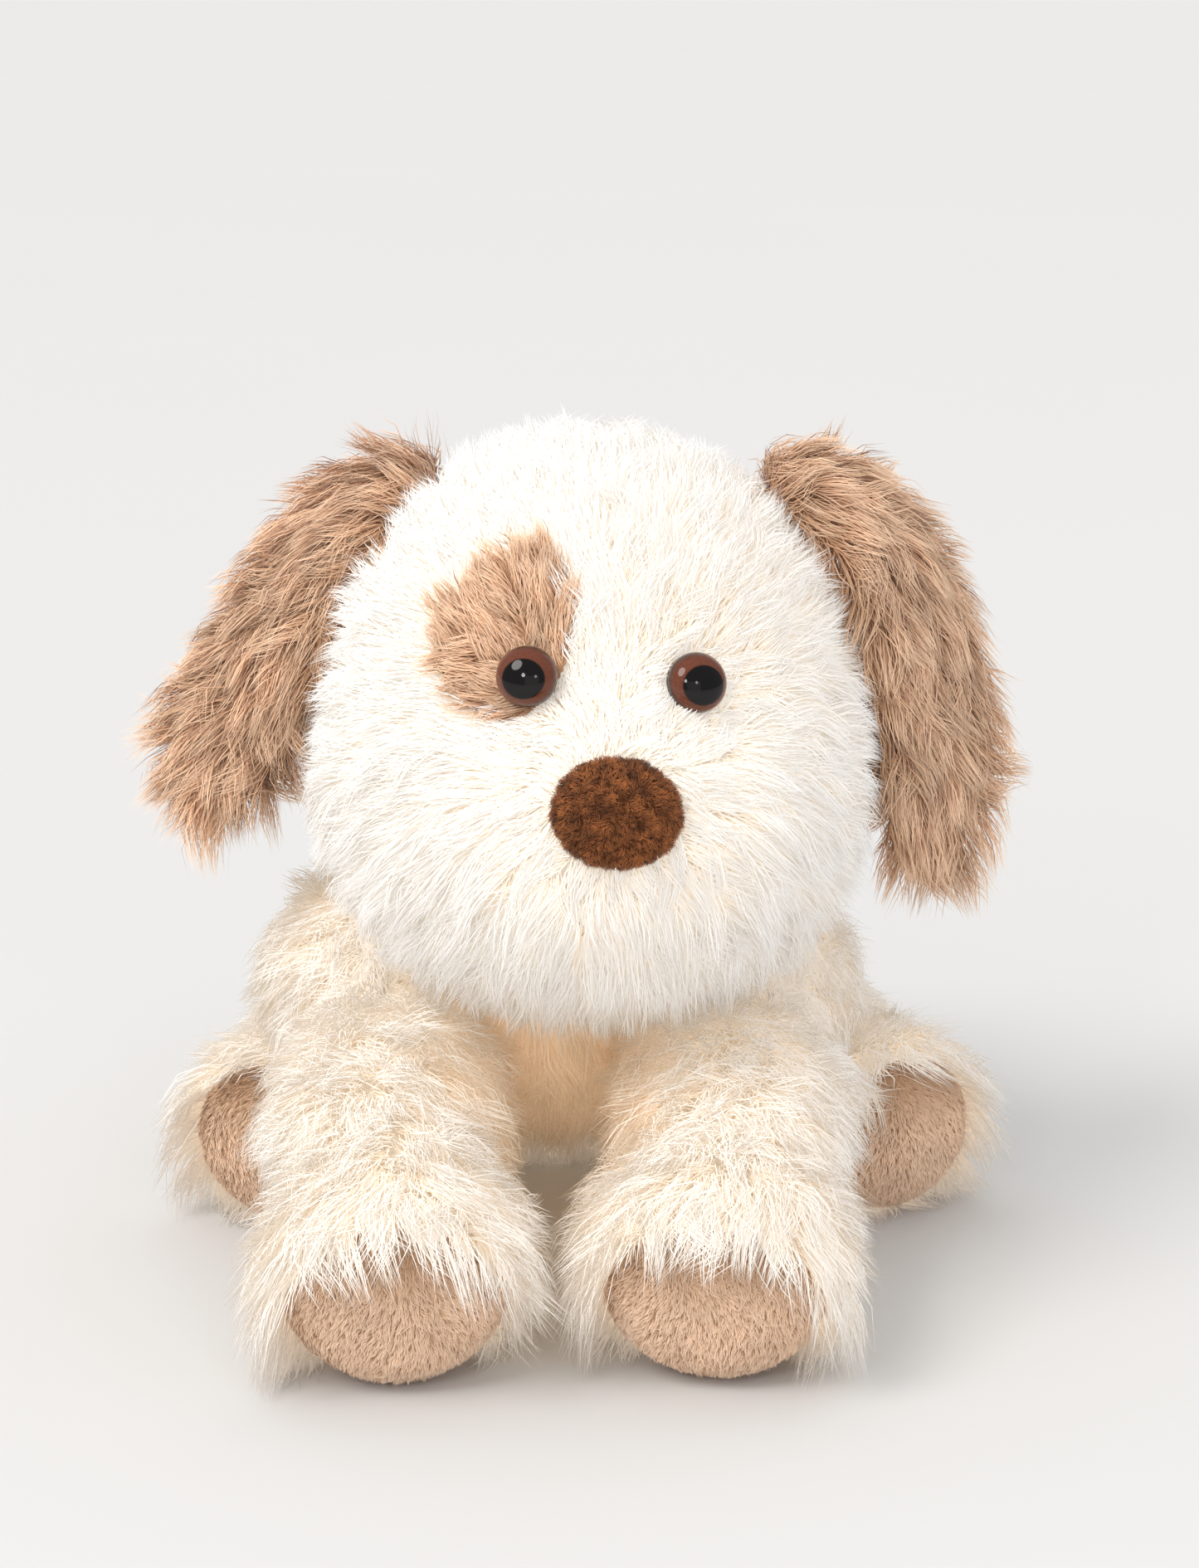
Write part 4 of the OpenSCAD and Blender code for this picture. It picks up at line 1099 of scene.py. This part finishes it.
class PLUSH_OT_stage(bpy.types.Operator):
    """Make the pale studio floor, the soft lights and the camera"""

    bl_idname = "plush.stage"
    bl_label = "Stage"
    bl_options = {"REGISTER", "UNDO"}

    def execute(self, context):
        scene, stage = context.scene, context.scene.plush_stage
        half, cells = 14.0, 24
        edge = np.linspace(-half, half, cells + 1)
        grid = np.stack([*np.meshgrid(edge, edge), np.zeros((cells + 1, cells + 1))], 2)
        first = [(i * (cells + 1) + j) for i in range(cells) for j in range(cells)]
        mesh = bpy.data.meshes.new("studio_floor")
        mesh.from_pydata(grid.reshape(-1, 3).tolist(), [],
                         [(a, a + 1, a + cells + 2, a + cells + 1) for a in first])
        material, tree, shader = new_material("studio_paper")
        cloud = noise(tree, place(tree), 2.5, 2)
        base = tuple(scene.plush_dye.floor)
        joined(tree, mixed(tree, cloud, tuple(c * 0.985 for c in base) + (1,), base + (1,)),
               shader.inputs["Base Color"])
        tuned(shader, Roughness=0.9, Specular_IOR_Level=0.1)
        mesh.materials.append(material)
        floor = bpy.data.objects.new("studio_floor", mesh)
        scene.collection.objects.link(floor)

        world = bpy.data.worlds.new("studio_air")
        world.use_nodes = True
        air = world.node_tree.nodes["Background"]
        sky = world.node_tree
        ray = sky.nodes.new("ShaderNodeLightPath")
        joined(sky, mixed(sky, ray.outputs["Is Camera Ray"], (0.97, 0.98, 1.0, 1),
                          (0.87, 0.865, 0.855, 1)), air.inputs["Color"])
        joined(sky, maths(sky, "MULTIPLY_ADD", ray.outputs["Is Glossy Ray"], -0.6, 1.0),
               air.inputs["Strength"])
        scene.world = world

        centre = (CAD_LOW + CAD_HIGH) / 2

        def lamp(name, kind, energy, place_at, colour, **values):
            light = bpy.data.lights.new(name, kind)
            light.energy = energy
            light.color = colour
            for key, value in values.items():
                setattr(light, key, value)
            obj = bpy.data.objects.new(name, light)
            obj.location = place_at
            obj.rotation_euler = (Vector(centre) - Vector(place_at)).to_track_quat(
                "-Z", "Y").to_euler()
            scene.collection.objects.link(obj)

        lamp("key_sun", "SUN", 1.46, (-1.5, -1.05, 2.2), (1.0, 0.965, 0.92),
             angle=math.radians(28), specular_factor=0.15)
        lamp("soft_box", "AREA", 2.5, (-0.42, -1.3, 0.80), (1.0, 0.98, 0.95),
             shape="DISK", size=0.24)
        lamp("side_box", "AREA", 0.7, (0.42, -1.3, 0.70), (1.0, 0.98, 0.95),
             shape="DISK", size=0.18)
        lamp("front_fill", "AREA", 1.6, (0.25, -1.9, 0.55), (1.0, 0.97, 0.93),
             shape="RECTANGLE", size=1.4, size_y=0.9, specular_factor=0.0)

        camera = bpy.data.objects.new("camera", bpy.data.cameras.new("camera"))
        camera.data.lens = stage.lens
        camera.data.sensor_width = 36
        aim = centre + Vector(stage.aim)
        tilt = stage.elevation
        camera.location = aim + stage.distance * Vector((0, -math.cos(tilt), math.sin(tilt)))
        camera.rotation_euler = (math.pi / 2 - tilt, 0, 0)
        camera.data.clip_start = 0.01
        scene.collection.objects.link(camera)
        scene.camera = camera
        scene.view_settings.view_transform = "Standard"
        return {"FINISHED"}


OPERATORS = (PLUSH_OT_stage, PLUSH_OT_torso, PLUSH_OT_head, PLUSH_OT_patch, PLUSH_OT_ears,
             PLUSH_OT_legs, PLUSH_OT_tail, PLUSH_OT_nose, PLUSH_OT_eyes)


class PLUSH_PT_workshop(bpy.types.Panel):
    """Lists the settings and the steps that make the plush dog"""

    bl_idname = "PLUSH_PT_workshop"
    bl_label = "Plush Dog"
    bl_space_type = "VIEW_3D"
    bl_region_type = "UI"
    bl_category = "Plush"

    def draw(self, context):
        for group in (context.scene.plush_pile, context.scene.plush_dye,
                      context.scene.plush_stage):
            box = self.layout.box()
            for name in group.__annotations__:
                box.prop(group, name)
        for operator in OPERATORS:
            self.layout.operator(operator.bl_idname)


CLASSES = (PileSettings, ColourSettings, StageSettings, *OPERATORS, PLUSH_PT_workshop)


def register():
    for cls in CLASSES:
        bpy.utils.register_class(cls)
    bpy.types.Scene.plush_pile = PointerProperty(type=PileSettings)
    bpy.types.Scene.plush_dye = PointerProperty(type=ColourSettings)
    bpy.types.Scene.plush_stage = PointerProperty(type=StageSettings)


def unregister():
    for name in ("plush_pile", "plush_dye", "plush_stage"):
        delattr(bpy.types.Scene, name)
    for cls in reversed(CLASSES):
        bpy.utils.unregister_class(cls)


def main():
    register()
    make_hides()
    make_fabric_materials()
    for operator in OPERATORS:
        family, name = operator.bl_idname.split(".")
        getattr(getattr(bpy.ops, family), name)()


if __name__ == "__main__":
    main()
